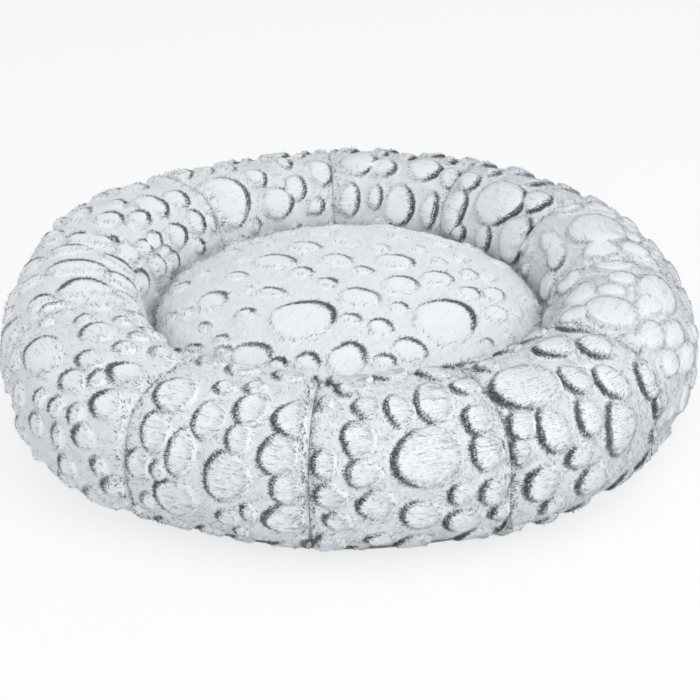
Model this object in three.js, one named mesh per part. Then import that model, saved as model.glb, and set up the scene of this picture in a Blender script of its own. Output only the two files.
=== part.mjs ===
// A round stuffed pet bed. A ring-shaped bolster is sewn from eleven plush panels over one long filling,
// a sewn base closes it underneath, and a loose plush cushion lies in the well.
// Lengths are millimetres, +Z is up and the bed's front faces -Y.
// A bearing is an angle in degrees around the bed, from the front towards the right.
import * as THREE from 'three';

// Bolster
const bedRadius = 250; // to the surface of the pile, before each panel's own bulge
const wellRadius = 143.5; // narrowest level of the well
const bolsterHeight = 111;
const bolsterFullness = 2.5; // 2 is a plain ellipse, more is squarer
const seamBearings = [24.5, 55.5, 87, 118, 150, 184, 221.5, 256, 290.5, 324.5, 354];
const panelBulges = [5, 3, -1, -2, -6, -5, 10, 0, 8, -7, -6]; // past bedRadius, in the order of the seams
const seamDip = 4; // how far a seam draws the wall in
const dipFalloff = 4; // higher keeps the dip closer to its seam
const dipEndEase = 0.5; // how soon the dip fades out towards the base
const outerSeamAngle = -73.8; // where the wall ends under the bed, around its own section
const sectionSteps = 18;
const panelShares = [0.25, 0.5, 0.75]; // cuts across a panel between its seams

// Sculpted plush: raised spots, with the cloth between them lower
const spotHalf = 23; // half the width of the widest spots
const reliefDepth = 3.4; // from the tops of the spots down to the cloth between them
const spotFullness = 4; // higher makes a spot's top flatter and its sides steeper
const reliefEndEase = 0.25; // how soon the relief fades out towards a panel's ends
const panelColumns = 10;
const panelRows = 22;

// Cloths and threads
const plushThickness = 6; // backing and pile together
const seamAllowance = 10; // depth of the edge turned in at a seam
const turnedEdge = 3; // width of that edge where it folds back
const seamHalfGap = 0.8; // from the middle of a seam to the cloth beside it
const threadHalf = 0.4;
const threadDepth = 5.4; // below the surface of the pile, at the cloth behind it
const underClothThickness = 2;
const liningThickness = 1.8;
const waddingThickness = 5.2;
const restGap = 0.4; // between pieces that lie on each other
const fillingEndGap = 0.6; // from a wall's cut end to the filling
const fillingCornerGap = 2.4; // same, at the filling's inner bottom corner
const valleyExtra = 0.8; // more room for the filling under a turned edge

// Cushion
const cushionRadius = 142.5;
const cushionSeamHeight = 56;
const cushionCrownHeight = 98;
const cushionDrawIn = 3; // how far the edge seam pulls the sides in
const cushionAllowance = 8;
const cushionThreadDepth = 1.5;
const cushionUnderThickness = 2.5;
const topSpread = 2; // shape powers of the cushion's upper half
const topRise = 3;
const underSpread = 4; // and of its flatter lower half
const underRise = 2.5;
const topAngles = [4, 12, 24, 38, 54, 72];
const underAngles = [6, 20, 40, 60, 78];
const cushionSegments = 44;
const crownRelief = 2; // the lower relief of the cushion's spots
const crownRings = 16;
const firstRingPoints = 6; // each ring has as many more than the one inside it
const rimEase = 12; // higher keeps the spots' relief closer to the edge seam

// Spots by panel: place across and along it, then half width and half length, as shares of the panel's width,
// of its length over the wall, and of spotHalf
const panelSpotShares = [
  [
    [0.22, 0.475, 1, 0.78], [0.23, 0.35, 0.48, 0.6], [0.15, 0.23, 0.52, 0.54], [0.43, 0.2, 0.56, 0.48],
    [0.44, 0.355, 0.44, 0.52], [0.62, 0.295, 0.6, 0.78], [0.5, 0.445, 0.48, 0.48], [0.69, 0.4, 0.48, 0.6],
    [0.93, 0.365, 0.48, 0.74], [0.62, 0.545, 0.6, 0.52], [0.83, 0.49, 0.48, 0.52],
  ],
  [
    [0.3, 0.42, 0.52, 0.7], [0.62, 0.5, 0.7, 0.6], [0.35, 0.56, 0.56, 0.44], [0.75, 0.36, 0.52, 0.65],
    [0.12, 0.48, 0.4, 0.48],
  ],
  [[0.35, 0.5, 0.65, 0.82], [0.75, 0.6, 0.65, 0.74], [0.25, 0.66, 0.4, 0.6], [0.6, 0.7, 0.4, 0.52]],
  [
    [0.49, 0.64, 0.91, 0.87], [0.9, 0.71, 0.48, 0.74], [0.5, 0.76, 0.35, 0.44], [0.13, 0.72, 0.65, 0.78],
    [0.2, 0.59, 0.48, 0.52], [0.88, 0.6, 0.44, 0.4],
  ],
  [
    [0.8, 0.575, 0.7, 0.6], [0.6, 0.6, 0.48, 0.4], [0.28, 0.585, 0.65, 0.52], [0.87, 0.71, 0.4, 0.56],
    [0.42, 0.72, 0.52, 0.74], [0.13, 0.72, 0.33, 0.56], [0.05, 0.6, 0.4, 0.44],
  ],
  [
    [0.88, 0.655, 0.91, 0.96], [0.57, 0.605, 0.4, 0.44], [0.47, 0.7, 0.56, 0.56], [0.3, 0.66, 0.4, 0.48],
    [0.09, 0.61, 0.48, 0.56],
  ],
  [
    [0.3, 0.6, 0.4, 0.56], [0.2, 0.7, 0.4, 0.52], [0.62, 0.53, 0.44, 0.56], [0.55, 0.66, 0.35, 0.65],
    [0.85, 0.6, 0.44, 0.7],
  ],
  [
    [0.3, 0.52, 0.52, 0.65], [0.65, 0.58, 0.44, 0.74], [0.7, 0.44, 0.52, 0.44], [0.35, 0.66, 0.44, 0.56],
    [0.25, 0.4, 0.4, 0.48],
  ],
  [
    [0.87, 0.395, 0.4, 0.52], [0.82, 0.29, 0.35, 0.52], [0.55, 0.42, 0.52, 0.44], [0.83, 0.475, 0.48, 0.44],
    [0.3, 0.38, 0.48, 0.6], [0.55, 0.54, 0.6, 0.48], [0.25, 0.5, 0.52, 0.56], [0.7, 0.2, 0.35, 0.4],
  ],
  [
    [0.19, 0.453, 0.6, 0.52], [0.44, 0.405, 0.48, 0.52], [0.66, 0.45, 0.48, 0.48], [0.17, 0.35, 0.44, 0.52],
    [0.33, 0.315, 0.42, 0.6], [0.85, 0.345, 0.52, 0.54], [0.59, 0.28, 0.63, 0.7], [0.1, 0.265, 0.4, 0.44],
    [0.3, 0.2, 0.65, 0.6], [0.9, 0.19, 0.67, 0.48], [0.97, 0.44, 0.82, 0.6],
  ],
  [
    [0.59, 0.336, 0.91, 0.8], [0.48, 0.46, 0.4, 0.52], [0.68, 0.475, 0.54, 0.65], [0.25, 0.385, 0.46, 0.48],
    [0.33, 0.235, 0.5, 0.42], [0.55, 0.2, 0.58, 0.44], [0.76, 0.165, 0.56, 0.4], [0.9, 0.235, 0.4, 0.42],
    [0.88, 0.33, 0.46, 0.48], [0.91, 0.51, 0.46, 0.35], [0.11, 0.255, 0.44, 0.33],
  ],
];

// Stretches of each panel's length where the spots stand in rows instead, each row set between its neighbours
const rowStretchShares = [
  [[0.65, 0.9]],
  [[0.08, 0.27], [0.66, 0.9]],
  [[0.08, 0.38], [0.8, 0.9]],
  [[0.08, 0.48], [0.87, 0.9]],
  [[0.08, 0.46], [0.84, 0.9]],
  [[0.08, 0.46], [0.84, 0.9]],
  [[0.08, 0.42], [0.8, 0.9]],
  [[0.08, 0.3], [0.77, 0.9]],
  [[0.09, 0.12], [0.64, 0.9]],
  [[0.6, 0.9]],
  [[0.6, 0.9]],
];
const rowPitchShare = 0.125;
const rowSpotShares = [[0.18, 0.5, 0.82], [0.34, 0.67]];
const rowSpotSizeShare = 0.56;
const rowWobbleShares = { across: 0.05, along: 0.018, size: 0.12 };
const wobbleTurns = { panel: 7, row: 3, spot: 5 };

// Spots of the cushion: place to the right and back of its middle, and half width, as shares of its radius
// and of spotHalf
const cushionSpotShares = [
  [-0.22, -0.48, 0.96], [-0.47, -0.66, 0.56], [-0.68, -0.15, 0.4], [-0.55, 0, 0.33], [-0.49, -0.4, 0.33],
  [-0.34, -0.23, 0.33], [-0.22, -0.04, 0.35], [-0.08, -0.17, 0.37], [-0.36, 0.13, 0.48], [-0.21, 0.31, 0.41],
  [-0.34, -0.77, 0.33], [-0.18, -0.78, 0.37], [-0.84, 0.13, 0.35], [-0.77, -0.65, 0.35], [0.5, -0.44, 1.04],
  [0.32, -0.72, 0.5], [-0.01, -0.77, 0.65], [0.18, -0.81, 0.35], [0.02, -0.51, 0.37], [0.18, -0.56, 0.39],
  [0.07, -0.29, 0.52], [0.28, -0.16, 0.52], [0.27, 0.11, 0.48], [0.19, 0.25, 0.3], [0.06, 0.35, 0.35],
  [0.39, 0.25, 0.33], [0, 0.14, 0.35], [0.51, -0.07, 0.41], [0.63, 0.03, 0.37], [0.63, -0.19, 0.39],
  [0.76, -0.13, 0.43], [0.76, -0.34, 0.37], [0.7, -0.6, 0.35], [0.49, 0.11, 0.33], [-0.1, 0.6, 0.45],
  [0.15, 0.62, 0.4], [0.4, 0.55, 0.42], [0.62, 0.4, 0.4], [-0.38, 0.55, 0.42], [-0.62, 0.4, 0.45],
  [0, 0.83, 0.4], [0.3, 0.78, 0.42], [-0.3, 0.8, 0.4],
];

const radian = Math.PI / 180;
const turn = 360;

const materials = {
  plush: new THREE.MeshStandardMaterial({ color: '#e3e6e9', roughness: 0.96, metalness: 0 }),
  underCloth: new THREE.MeshStandardMaterial({ color: '#a9adb2', roughness: 0.85, metalness: 0 }),
  lining: new THREE.MeshStandardMaterial({ color: '#d9dbdd', roughness: 0.9, metalness: 0 }),
  filling: new THREE.MeshStandardMaterial({ color: '#f5f5f2', roughness: 1, metalness: 0 }),
  thread: new THREE.MeshStandardMaterial({ color: '#ced1d5', roughness: 0.7, metalness: 0 }),
};

const underClothTop = underClothThickness;
const waddingBottom = underClothTop + restGap;
const liningBottom = waddingBottom + waddingThickness + restGap;
const liningTop = liningBottom + liningThickness;
const cushionBottom = liningTop + restGap;
const fillingDepth = plushThickness + restGap;
const valleyDepth = seamAllowance + restGap + valleyExtra;
const baseEdgeGap = 2 * seamHalfGap;

// Around the section, the wall ends in the well where it comes down to the lining
const liningShare = 1 - liningTop / (bolsterHeight / 2);
const innerSeamAngle = turn / 2 + Math.asin(liningShare ** (bolsterFullness / 2)) / radian;

const walkSteps = 400;

const panels = seamBearings.map((start, index) => {
  const next = seamBearings[(index + 1) % seamBearings.length];
  const end = next > start ? next : next + turn;
  return { start, end, middle: (start + end) / 2, bulge: panelBulges[index] };
});

function signedPower(value, power) {
  return Math.sign(value) * Math.abs(value) ** power;
}

// Angle from one bearing round to the next, from 0 up to a full turn
function sweep(from, to) {
  return (((to - from) % turn) + turn) % turn;
}

// The wall's bulge, eased from the middle of one panel to the middle of the next
function bulgeAt(bearing) {
  const index = panels.findIndex((panel, place) => {
    const following = panels[(place + 1) % panels.length];
    return sweep(panel.middle, bearing) < sweep(panel.middle, following.middle);
  });
  const here = panels[index];
  const there = panels[(index + 1) % panels.length];
  const share = sweep(here.middle, bearing) / sweep(here.middle, there.middle);
  const eased = (1 - Math.cos(Math.PI * share)) / 2;
  return here.bulge + (there.bulge - here.bulge) * eased;
}

// How far the nearest seam draws the surface in: most at the seam, almost nothing at a panel's middle
function dipAt(bearing) {
  const panel = panels.find(({ start, end }) => sweep(start, bearing) < end - start);
  const across = sweep(panel.start, bearing) / (panel.end - panel.start);
  return seamDip * Math.abs(2 * across - 1) ** dipFalloff;
}

// A point of the bolster's section, as distance from the bed's axis and height above the floor
function wallPoint(bearing, angle, depth) {
  const outer = bedRadius + bulgeAt(bearing);
  const halfWidth = (outer - wellRadius) / 2;
  const halfHeight = bolsterHeight / 2;
  const power = 2 / bolsterFullness;
  const across = Math.cos(angle * radian);
  const up = Math.sin(angle * radian);
  const sideways = signedPower(across, 2 - power) / halfWidth;
  const upwards = signedPower(up, 2 - power) / halfHeight;
  const slope = Math.hypot(sideways, upwards);
  const along = (angle - outerSeamAngle) / (innerSeamAngle - outerSeamAngle);
  const fade = Math.max(0, Math.sin(Math.PI * along)) ** dipEndEase;
  const inward = depth + dipAt(bearing) * fade;
  return {
    reach: (outer + wellRadius) / 2 + halfWidth * signedPower(across, power) - (inward * sideways) / slope,
    height: halfHeight + halfHeight * signedPower(up, power) - (inward * upwards) / slope,
  };
}

// From a station's flat section to the bed: shift moves the point sideways, along the ring
function place(bearing, shift, { reach, height }) {
  const angle = bearing * radian;
  return new THREE.Vector3(
    reach * Math.sin(angle) + shift * Math.cos(angle),
    shift * Math.sin(angle) - reach * Math.cos(angle),
    height,
  );
}

// Steps along a curve that is drawn by an angle, and returns the angle at any share of the curve's length
function evenAlong(from, to, pointAt) {
  const steps = [{ angle: from, length: 0 }];
  for (let step = 1; step <= walkSteps; step += 1) {
    const before = steps[step - 1];
    const angle = from + ((to - from) * step) / walkSteps;
    const length = before.length + pointAt(angle).distanceTo(pointAt(before.angle));
    steps.push({ angle, length });
  }
  const whole = steps[walkSteps].length;
  return (share) => {
    const next = Math.max(1, steps.findIndex(({ length }) => length >= share * whole));
    const before = steps[next - 1];
    const within = (share * whole - before.length) / (steps[next].length - before.length);
    return before.angle + (steps[next].angle - before.angle) * within;
  };
}

const wallAngleAt = evenAlong(outerSeamAngle, innerSeamAngle, (angle) => {
  const { reach, height } = wallPoint(0, angle, 0);
  return new THREE.Vector2(reach, height);
});

// Rows of spots for one panel, each a little off its regular place and size
function rowSpots(index) {
  return rowStretchShares[index].flatMap(([from, to]) => {
    const rows = Math.round((to - from) / rowPitchShare) + 1;
    return Array.from({ length: rows }, (unused, row) => {
      const columns = rowSpotShares[row % rowSpotShares.length];
      return columns.map((across, column) => {
        const phase = wobbleTurns.panel * index + wobbleTurns.row * row + wobbleTurns.spot * column;
        const size = rowSpotSizeShare + rowWobbleShares.size * Math.sin(phase);
        const along = from + rowPitchShare * row + rowWobbleShares.along * Math.cos(2 * phase);
        return [across + rowWobbleShares.across * Math.sin(phase), along, size, size];
      });
    }).flat();
  });
}

function panelSpots({ start, end }, index) {
  return [...panelSpotShares[index], ...rowSpots(index)].map(([across, along, width, length]) => {
    const bearing = start + (end - start) * across;
    return {
      centre: place(bearing, 0, wallPoint(bearing, wallAngleAt(along), 0)),
      around: new THREE.Vector3(Math.cos(bearing * radian), Math.sin(bearing * radian), 0),
      halfWidth: spotHalf * width,
      halfLength: spotHalf * length,
    };
  });
}

// 1 on top of a spot, falling to 0 on the cloth between the spots
function spotRise(spots, point) {
  return Math.max(...spots.map(({ centre, around, halfWidth, halfLength }) => {
    const away = point.clone().sub(centre);
    const sideways = away.dot(around);
    const lengthways = Math.sqrt(Math.max(0, away.lengthSq() - sideways ** 2));
    const out = Math.hypot(sideways / halfWidth, lengthways / halfLength);
    return Math.max(0, 1 - out ** spotFullness);
  }));
}

function wallAngles() {
  const angles = [];
  for (let step = 0; step <= sectionSteps; step += 1) {
    angles.push(outerSeamAngle + ((innerSeamAngle - outerSeamAngle) * step) / sectionSteps);
  }
  return angles;
}

function geometryFrom(points, faces) {
  const geometry = new THREE.BufferGeometry();
  geometry.setFromPoints(points);
  geometry.setIndex(faces);
  geometry.computeVertexNormals();
  return geometry;
}

// Skins a row of closed outlines that all have the same number of points. The cut across each four-cornered
// face runs forward or back, so that two walls that lie on each other can be cut the same way.
function skinOutlines(outlines, closed, forward) {
  const count = outlines[0].length;
  const faces = [];
  const spans = closed ? outlines.length : outlines.length - 1;
  for (let row = 0; row < spans; row += 1) {
    const next = (row + 1) % outlines.length;
    for (let column = 0; column < count; column += 1) {
      const after = (column + 1) % count;
      const a = row * count + column;
      const b = row * count + after;
      const c = next * count + after;
      const d = next * count + column;
      const cut = forward ? [a, d, c, a, c, b] : [a, d, b, b, d, c];
      faces.push(...cut);
    }
  }
  return faces;
}

// Closes the first and last outline of a strip whose far side runs back along its near side
function capStrips(outlines, faces) {
  const count = outlines[0].length;
  const last = (outlines.length - 1) * count;
  for (let step = 0; step < count / 2 - 1; step += 1) {
    const near = step;
    const nearNext = step + 1;
    const far = count - 1 - step;
    const farNext = far - 1;
    faces.push(near, nearNext, far, nearNext, farNext, far);
    faces.push(last + near, last + far, last + nearNext, last + nearNext, last + far, last + farNext);
  }
}

function stripSolid(outlines) {
  const faces = skinOutlines(outlines, false, false);
  capStrips(outlines, faces);
  return geometryFrom(outlines.flat(), faces);
}

function ringSolid(outlines) {
  return geometryFrom(outlines.flat(), skinOutlines(outlines, true, true));
}

function addPiece(group, name, geometry, material) {
  const piece = new THREE.Mesh(geometry, material);
  piece.name = name;
  group.add(piece);
}

function numbered(stem, index) {
  return `${stem}_${String(index + 1).padStart(2, '0')}`;
}

// Joins two rows of points that start and end side by side, whatever the number of points in each
function joinRows(faces, points, near, far) {
  const gap = (one, other) => (
    one < near.length && other < far.length ? points[near[one]].distanceTo(points[far[other]]) : Infinity
  );
  let here = 0;
  let there = 0;
  while (here + 1 < near.length || there + 1 < far.length) {
    if (gap(here + 1, there) <= gap(here, there + 1)) {
      faces.push(near[here + 1], near[here], far[there]);
      here += 1;
    } else {
      faces.push(near[here], far[there], far[there + 1]);
      there += 1;
    }
  }
}

// Numbers the points of a grid, column by column
function gridNumbers(grid, first) {
  const rows = grid[0].length;
  return grid.map((column, place) => column.map((point, row) => first + place * rows + row));
}

// Two faces on each cell of a numbered grid, cut from corner to corner the way that isFalling says
function coverGrid(faces, grid, isFalling) {
  for (let column = 0; column < grid.length - 1; column += 1) {
    for (let row = 0; row < grid[column].length - 1; row += 1) {
      const a = grid[column][row];
      const b = grid[column + 1][row];
      const c = grid[column + 1][row + 1];
      const d = grid[column][row + 1];
      const cut = isFalling(a, b, c, d) ? [a, b, d, b, c, d] : [a, b, c, a, c, d];
      faces.push(...cut);
    }
  }
}

// The four edges of a numbered grid, one after the other round it
function gridEdges(grid) {
  const last = grid.length - 1;
  const top = grid[0].length - 1;
  return [
    grid.map((column) => column[0]),
    grid[last],
    grid.map((column) => column[top]).reverse(),
    [...grid[0]].reverse(),
  ];
}

// The lines across a panel where its points lie, with the turned edge at each seam
function panelStations({ start, end }, shares) {
  return [
    { bearing: start, shift: seamHalfGap, inner: seamAllowance },
    { bearing: start, shift: seamHalfGap + turnedEdge, inner: plushThickness },
    ...shares.map((share) => ({
      bearing: start + (end - start) * share,
      shift: 0,
      inner: plushThickness,
    })),
    { bearing: end, shift: -seamHalfGap - turnedEdge, inner: plushThickness },
    { bearing: end, shift: -seamHalfGap, inner: seamAllowance },
  ];
}

// The pile side of a panel: each point with how far it lies below the tops of the spots
function panelFront(panel, index) {
  const spots = panelSpots(panel, index);
  const shares = Array.from({ length: panelColumns - 1 }, (unused, column) => (column + 1) / panelColumns);
  const heights = Array.from({ length: panelRows + 1 }, (unused, row) => row / panelRows);
  return panelStations(panel, shares).map(({ bearing, shift }) => heights.map((along) => {
    const angle = wallAngleAt(along);
    const rise = spotRise(spots, place(bearing, shift, wallPoint(bearing, angle, 0)));
    const lowered = reliefDepth * (1 - rise) * Math.max(0, Math.sin(Math.PI * along)) ** reliefEndEase;
    return { lowered, point: place(bearing, shift, wallPoint(bearing, angle, lowered)) };
  }));
}

// One plush panel of the bolster, with its two long edges turned in
function panelGeometry(panel, index) {
  const front = panelFront(panel, index);
  const back = panelStations(panel, panelShares).map(({ bearing, shift, inner }) => (
    wallAngles().map((angle) => place(bearing, shift, wallPoint(bearing, angle, inner)))
  ));
  const frontNumbers = gridNumbers(front, 0);
  const backNumbers = gridNumbers(back, front.flat().length);
  const lowered = front.flat().map((corner) => corner.lowered);
  const points = [...front.flat().map(({ point }) => point), ...back.flat()];
  const faces = [];
  coverGrid(faces, frontNumbers, (a, b, c, d) => (
    Math.abs(lowered[a] - lowered[c]) > Math.abs(lowered[b] - lowered[d])
  ));
  coverGrid(faces, [...backNumbers].reverse(), () => true);
  const backEdges = gridEdges(backNumbers);
  gridEdges(frontNumbers).forEach((edge, side) => joinRows(faces, points, edge, backEdges[side]));
  return geometryFrom(points, faces);
}

// The stitching that runs down a seam between two panels
function seamThreadGeometry({ start }) {
  return stripSolid(wallAngles().map((angle) => {
    const outer = wallPoint(start, angle, threadDepth - threadHalf);
    const inner = wallPoint(start, angle, threadDepth + threadHalf);
    return [
      place(start, -threadHalf, inner),
      place(start, threadHalf, inner),
      place(start, threadHalf, outer),
      place(start, -threadHalf, outer),
    ];
  }));
}

// One outline of the filling: the wall's section inside the plush, closed by a flat foot on the under cloth
function fillingOutline(bearing, shift, depth) {
  const wall = wallAngles().map((angle) => wallPoint(bearing, angle, depth));
  const outerEnd = wallPoint(bearing, outerSeamAngle, 0);
  const innerEnd = wallPoint(bearing, innerSeamAngle, 0);
  const first = wall[0];
  const last = wall[wall.length - 1];
  const lean = Math.atan2(last.height - innerEnd.height, last.reach - innerEnd.reach);
  const lastAway = { reach: fillingEndGap * Math.sin(lean), height: -fillingEndGap * Math.cos(lean) };
  const section = [
    { reach: outerEnd.reach - baseEdgeGap, height: waddingBottom },
    { reach: first.reach - fillingEndGap, height: first.height },
    ...wall.slice(1, -1),
    { reach: last.reach + lastAway.reach, height: last.height + lastAway.height },
    { reach: innerEnd.reach + fillingCornerGap, height: waddingBottom },
  ];
  return section.map((point) => place(bearing, shift, point));
}

function fillingGeometry() {
  const edge = seamHalfGap + turnedEdge + restGap;
  return ringSolid(panels.flatMap(({ start, end }) => [
    fillingOutline(start, 0, valleyDepth),
    fillingOutline(start, edge, fillingDepth),
    ...panelShares.map((share) => fillingOutline(start + (end - start) * share, 0, fillingDepth)),
    fillingOutline(end, -edge, fillingDepth),
  ]));
}

function ringBearings() {
  return panels.flatMap(({ start, end }) => [
    start,
    ...panelShares.map((share) => start + (end - start) * share),
  ]);
}

// A flat layer of the base, cut to stop short of the wall's cut end all round
function layerGeometry(wallEndAngle, edgeGap, bottom, top) {
  const edge = ringBearings().map((bearing) => {
    const end = wallPoint(bearing, wallEndAngle, 0);
    return { bearing, reach: end.reach - edgeGap };
  });
  const count = edge.length;
  const points = [
    ...edge.map(({ bearing, reach }) => place(bearing, 0, { reach, height: bottom })),
    ...edge.map(({ bearing, reach }) => place(bearing, 0, { reach, height: top })),
    new THREE.Vector3(0, 0, bottom),
    new THREE.Vector3(0, 0, top),
  ];
  const faces = [];
  for (let index = 0; index < count; index += 1) {
    const next = (index + 1) % count;
    faces.push(index, next, count + index, next, count + next, count + index);
    faces.push(2 * count, next, index);
    faces.push(2 * count + 1, count + index, count + next);
  }
  return geometryFrom(points, faces);
}

// The stitching between the wall's cut end and a layer of the base
function baseThreadGeometry(wallEndAngle, height) {
  return ringSolid(ringBearings().map((bearing) => {
    const middle = wallPoint(bearing, wallEndAngle, 0).reach - seamHalfGap;
    const corners = [
      { reach: middle - threadHalf, height: height - threadHalf },
      { reach: middle + threadHalf, height: height - threadHalf },
      { reach: middle + threadHalf, height: height + threadHalf },
      { reach: middle - threadHalf, height: height + threadHalf },
    ];
    return corners.map((corner) => place(bearing, 0, corner));
  }));
}

// A point of the cushion's upper or lower half, a given depth inside its surface
function cushionPoint(half, angle, depth) {
  const { spread, rise, height, side } = half;
  const across = Math.cos(angle * radian) ** (2 / spread);
  const up = Math.sin(angle * radian) ** (2 / rise);
  const sideways = (spread * across ** (spread - 1)) / cushionRadius;
  const upwards = (rise * up ** (rise - 1)) / height;
  const slope = Math.hypot(sideways, upwards);
  return new THREE.Vector2(
    cushionRadius * across - (depth * sideways) / slope,
    cushionSeamHeight + side * (height * up - (depth * upwards) / slope),
  );
}

const upperHalf = {
  spread: topSpread,
  rise: topRise,
  height: cushionCrownHeight - cushionSeamHeight,
  side: 1,
  angles: topAngles,
};
const lowerHalf = {
  spread: underSpread,
  rise: underRise,
  height: cushionSeamHeight - cushionBottom,
  side: -1,
  angles: underAngles,
};

// From the edge to the middle of one half, at one depth
function cushionSlope(half, depth) {
  const points = half.angles.map((angle) => cushionPoint(half, angle, depth));
  points.push(new THREE.Vector2(0, cushionSeamHeight + half.side * (half.height - depth)));
  return points;
}

function latheFrom(profile) {
  return new THREE.LatheGeometry(profile, cushionSegments).rotateX(Math.PI / 2);
}

const crownAngleAt = evenAlong(turn / 4, topAngles[0], (angle) => cushionPoint(upperHalf, angle, 0));

function circle(point, count) {
  return Array.from({ length: count }, (unused, step) => (
    place((turn * step) / count, 0, { reach: point.x, height: point.y })
  ));
}

// Rings of points over the cushion's top, from its middle out to the edge, with the spots standing up
function crownCircles() {
  const spots = cushionSpotShares.map(([right, backward, size]) => ({
    centre: new THREE.Vector3(right, backward, 0).multiplyScalar(cushionRadius),
    around: new THREE.Vector3(1, 0, 0),
    halfWidth: spotHalf * size,
    halfLength: spotHalf * size,
  }));
  return Array.from({ length: crownRings + 1 }, (unused, ring) => {
    const share = ring / crownRings;
    const angle = crownAngleAt(share);
    const count = Math.max(1, firstRingPoints * ring);
    return circle(cushionPoint(upperHalf, angle, 0), count).map((point, step) => {
      const rise = spotRise(spots, new THREE.Vector3(point.x, point.y, 0));
      const lowered = cushionPoint(upperHalf, angle, crownRelief * (1 - rise) * (1 - share ** rimEase));
      return place((turn * step) / count, 0, { reach: lowered.x, height: lowered.y });
    });
  });
}

// Skins circles of points, from one to the next, whatever the number of points in each
function skinCircles(circles) {
  const points = circles.flat();
  const faces = [];
  let first = 0;
  const rows = circles.map((corners) => {
    const numbers = corners.map((corner, step) => first + step);
    first += corners.length;
    return corners.length > 1 ? [...numbers, numbers[0]] : numbers;
  });
  rows.slice(1).forEach((row, index) => joinRows(faces, points, rows[index], row));
  return geometryFrom(points, faces);
}

// The seam allowance that is turned in at the edge of a cushion panel, from its cut edge out
function cushionAllowancePoints(half) {
  const seamEdge = cushionRadius - cushionDrawIn;
  const level = cushionSeamHeight + half.side * seamHalfGap;
  return [new THREE.Vector2(seamEdge - cushionAllowance, level), new THREE.Vector2(seamEdge, level)];
}

function cushionTopGeometry() {
  const allowance = cushionAllowancePoints(upperHalf).reverse();
  const inside = [...allowance, ...cushionSlope(upperHalf, plushThickness)];
  const circles = inside.map((point) => circle(point, point.x > 0 ? cushionSegments : 1));
  return skinCircles([...crownCircles(), ...circles]);
}

function cushionUnderGeometry() {
  const inside = cushionSlope(lowerHalf, cushionUnderThickness);
  return latheFrom([
    ...cushionSlope(lowerHalf, 0).reverse(),
    ...cushionAllowancePoints(lowerHalf).reverse(),
    ...inside,
  ]);
}

function cushionFillingGeometry() {
  const edge = cushionRadius - cushionDrawIn - cushionAllowance - fillingEndGap;
  const rise = seamHalfGap + restGap;
  return latheFrom([
    ...cushionSlope(lowerHalf, cushionUnderThickness + restGap).reverse(),
    new THREE.Vector2(edge, cushionSeamHeight - rise),
    new THREE.Vector2(edge, cushionSeamHeight + rise),
    ...cushionSlope(upperHalf, fillingDepth),
  ]);
}

function cushionThreadGeometry() {
  const middle = cushionRadius - cushionDrawIn - cushionThreadDepth;
  return latheFrom([
    new THREE.Vector2(middle - threadHalf, cushionSeamHeight - threadHalf),
    new THREE.Vector2(middle + threadHalf, cushionSeamHeight - threadHalf),
    new THREE.Vector2(middle + threadHalf, cushionSeamHeight + threadHalf),
    new THREE.Vector2(middle - threadHalf, cushionSeamHeight + threadHalf),
    new THREE.Vector2(middle - threadHalf, cushionSeamHeight - threadHalf),
  ]);
}

function buildBolster() {
  const bolster = new THREE.Group();
  panels.forEach((panel, index) => {
    addPiece(bolster, numbered('bolster_panel', index), panelGeometry(panel, index), materials.plush);
    addPiece(bolster, numbered('seam_thread', index), seamThreadGeometry(panel), materials.thread);
  });
  addPiece(bolster, 'bolster_filling', fillingGeometry(), materials.filling);
  return bolster;
}

function buildBase() {
  const base = new THREE.Group();
  const underCloth = layerGeometry(outerSeamAngle, baseEdgeGap, 0, underClothTop);
  const wadding = layerGeometry(innerSeamAngle, baseEdgeGap, waddingBottom, waddingBottom + waddingThickness);
  const lining = layerGeometry(innerSeamAngle, baseEdgeGap, liningBottom, liningTop);
  addPiece(base, 'base_under_cloth', underCloth, materials.underCloth);
  addPiece(base, 'base_wadding', wadding, materials.filling);
  addPiece(base, 'base_floor_lining', lining, materials.lining);
  const outerHeight = underClothTop - threadHalf - restGap;
  const innerHeight = (liningBottom + liningTop) / 2;
  addPiece(base, 'base_outer_thread', baseThreadGeometry(outerSeamAngle, outerHeight), materials.thread);
  addPiece(base, 'base_inner_thread', baseThreadGeometry(innerSeamAngle, innerHeight), materials.thread);
  return base;
}

function buildCushion() {
  const cushion = new THREE.Group();
  addPiece(cushion, 'cushion_top_panel', cushionTopGeometry(), materials.plush);
  addPiece(cushion, 'cushion_under_panel', cushionUnderGeometry(), materials.lining);
  addPiece(cushion, 'cushion_filling', cushionFillingGeometry(), materials.filling);
  addPiece(cushion, 'cushion_edge_thread', cushionThreadGeometry(), materials.thread);
  return cushion;
}

const petBed = new THREE.Group();
petBed.name = 'round_pet_bed';
petBed.add(buildBolster(), buildBase(), buildCushion());

// The bulges aren't even all round, so the whole bed is moved to stand centred on the origin
const extent = new THREE.Box3().setFromObject(petBed);
const centre = extent.getCenter(new THREE.Vector3());
petBed.position.set(-centre.x, -centre.y, 0);

export default petBed;
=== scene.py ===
import math
import random

import bmesh
import bpy
import numpy as np
from mathutils import Matrix, Vector, noise


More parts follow.
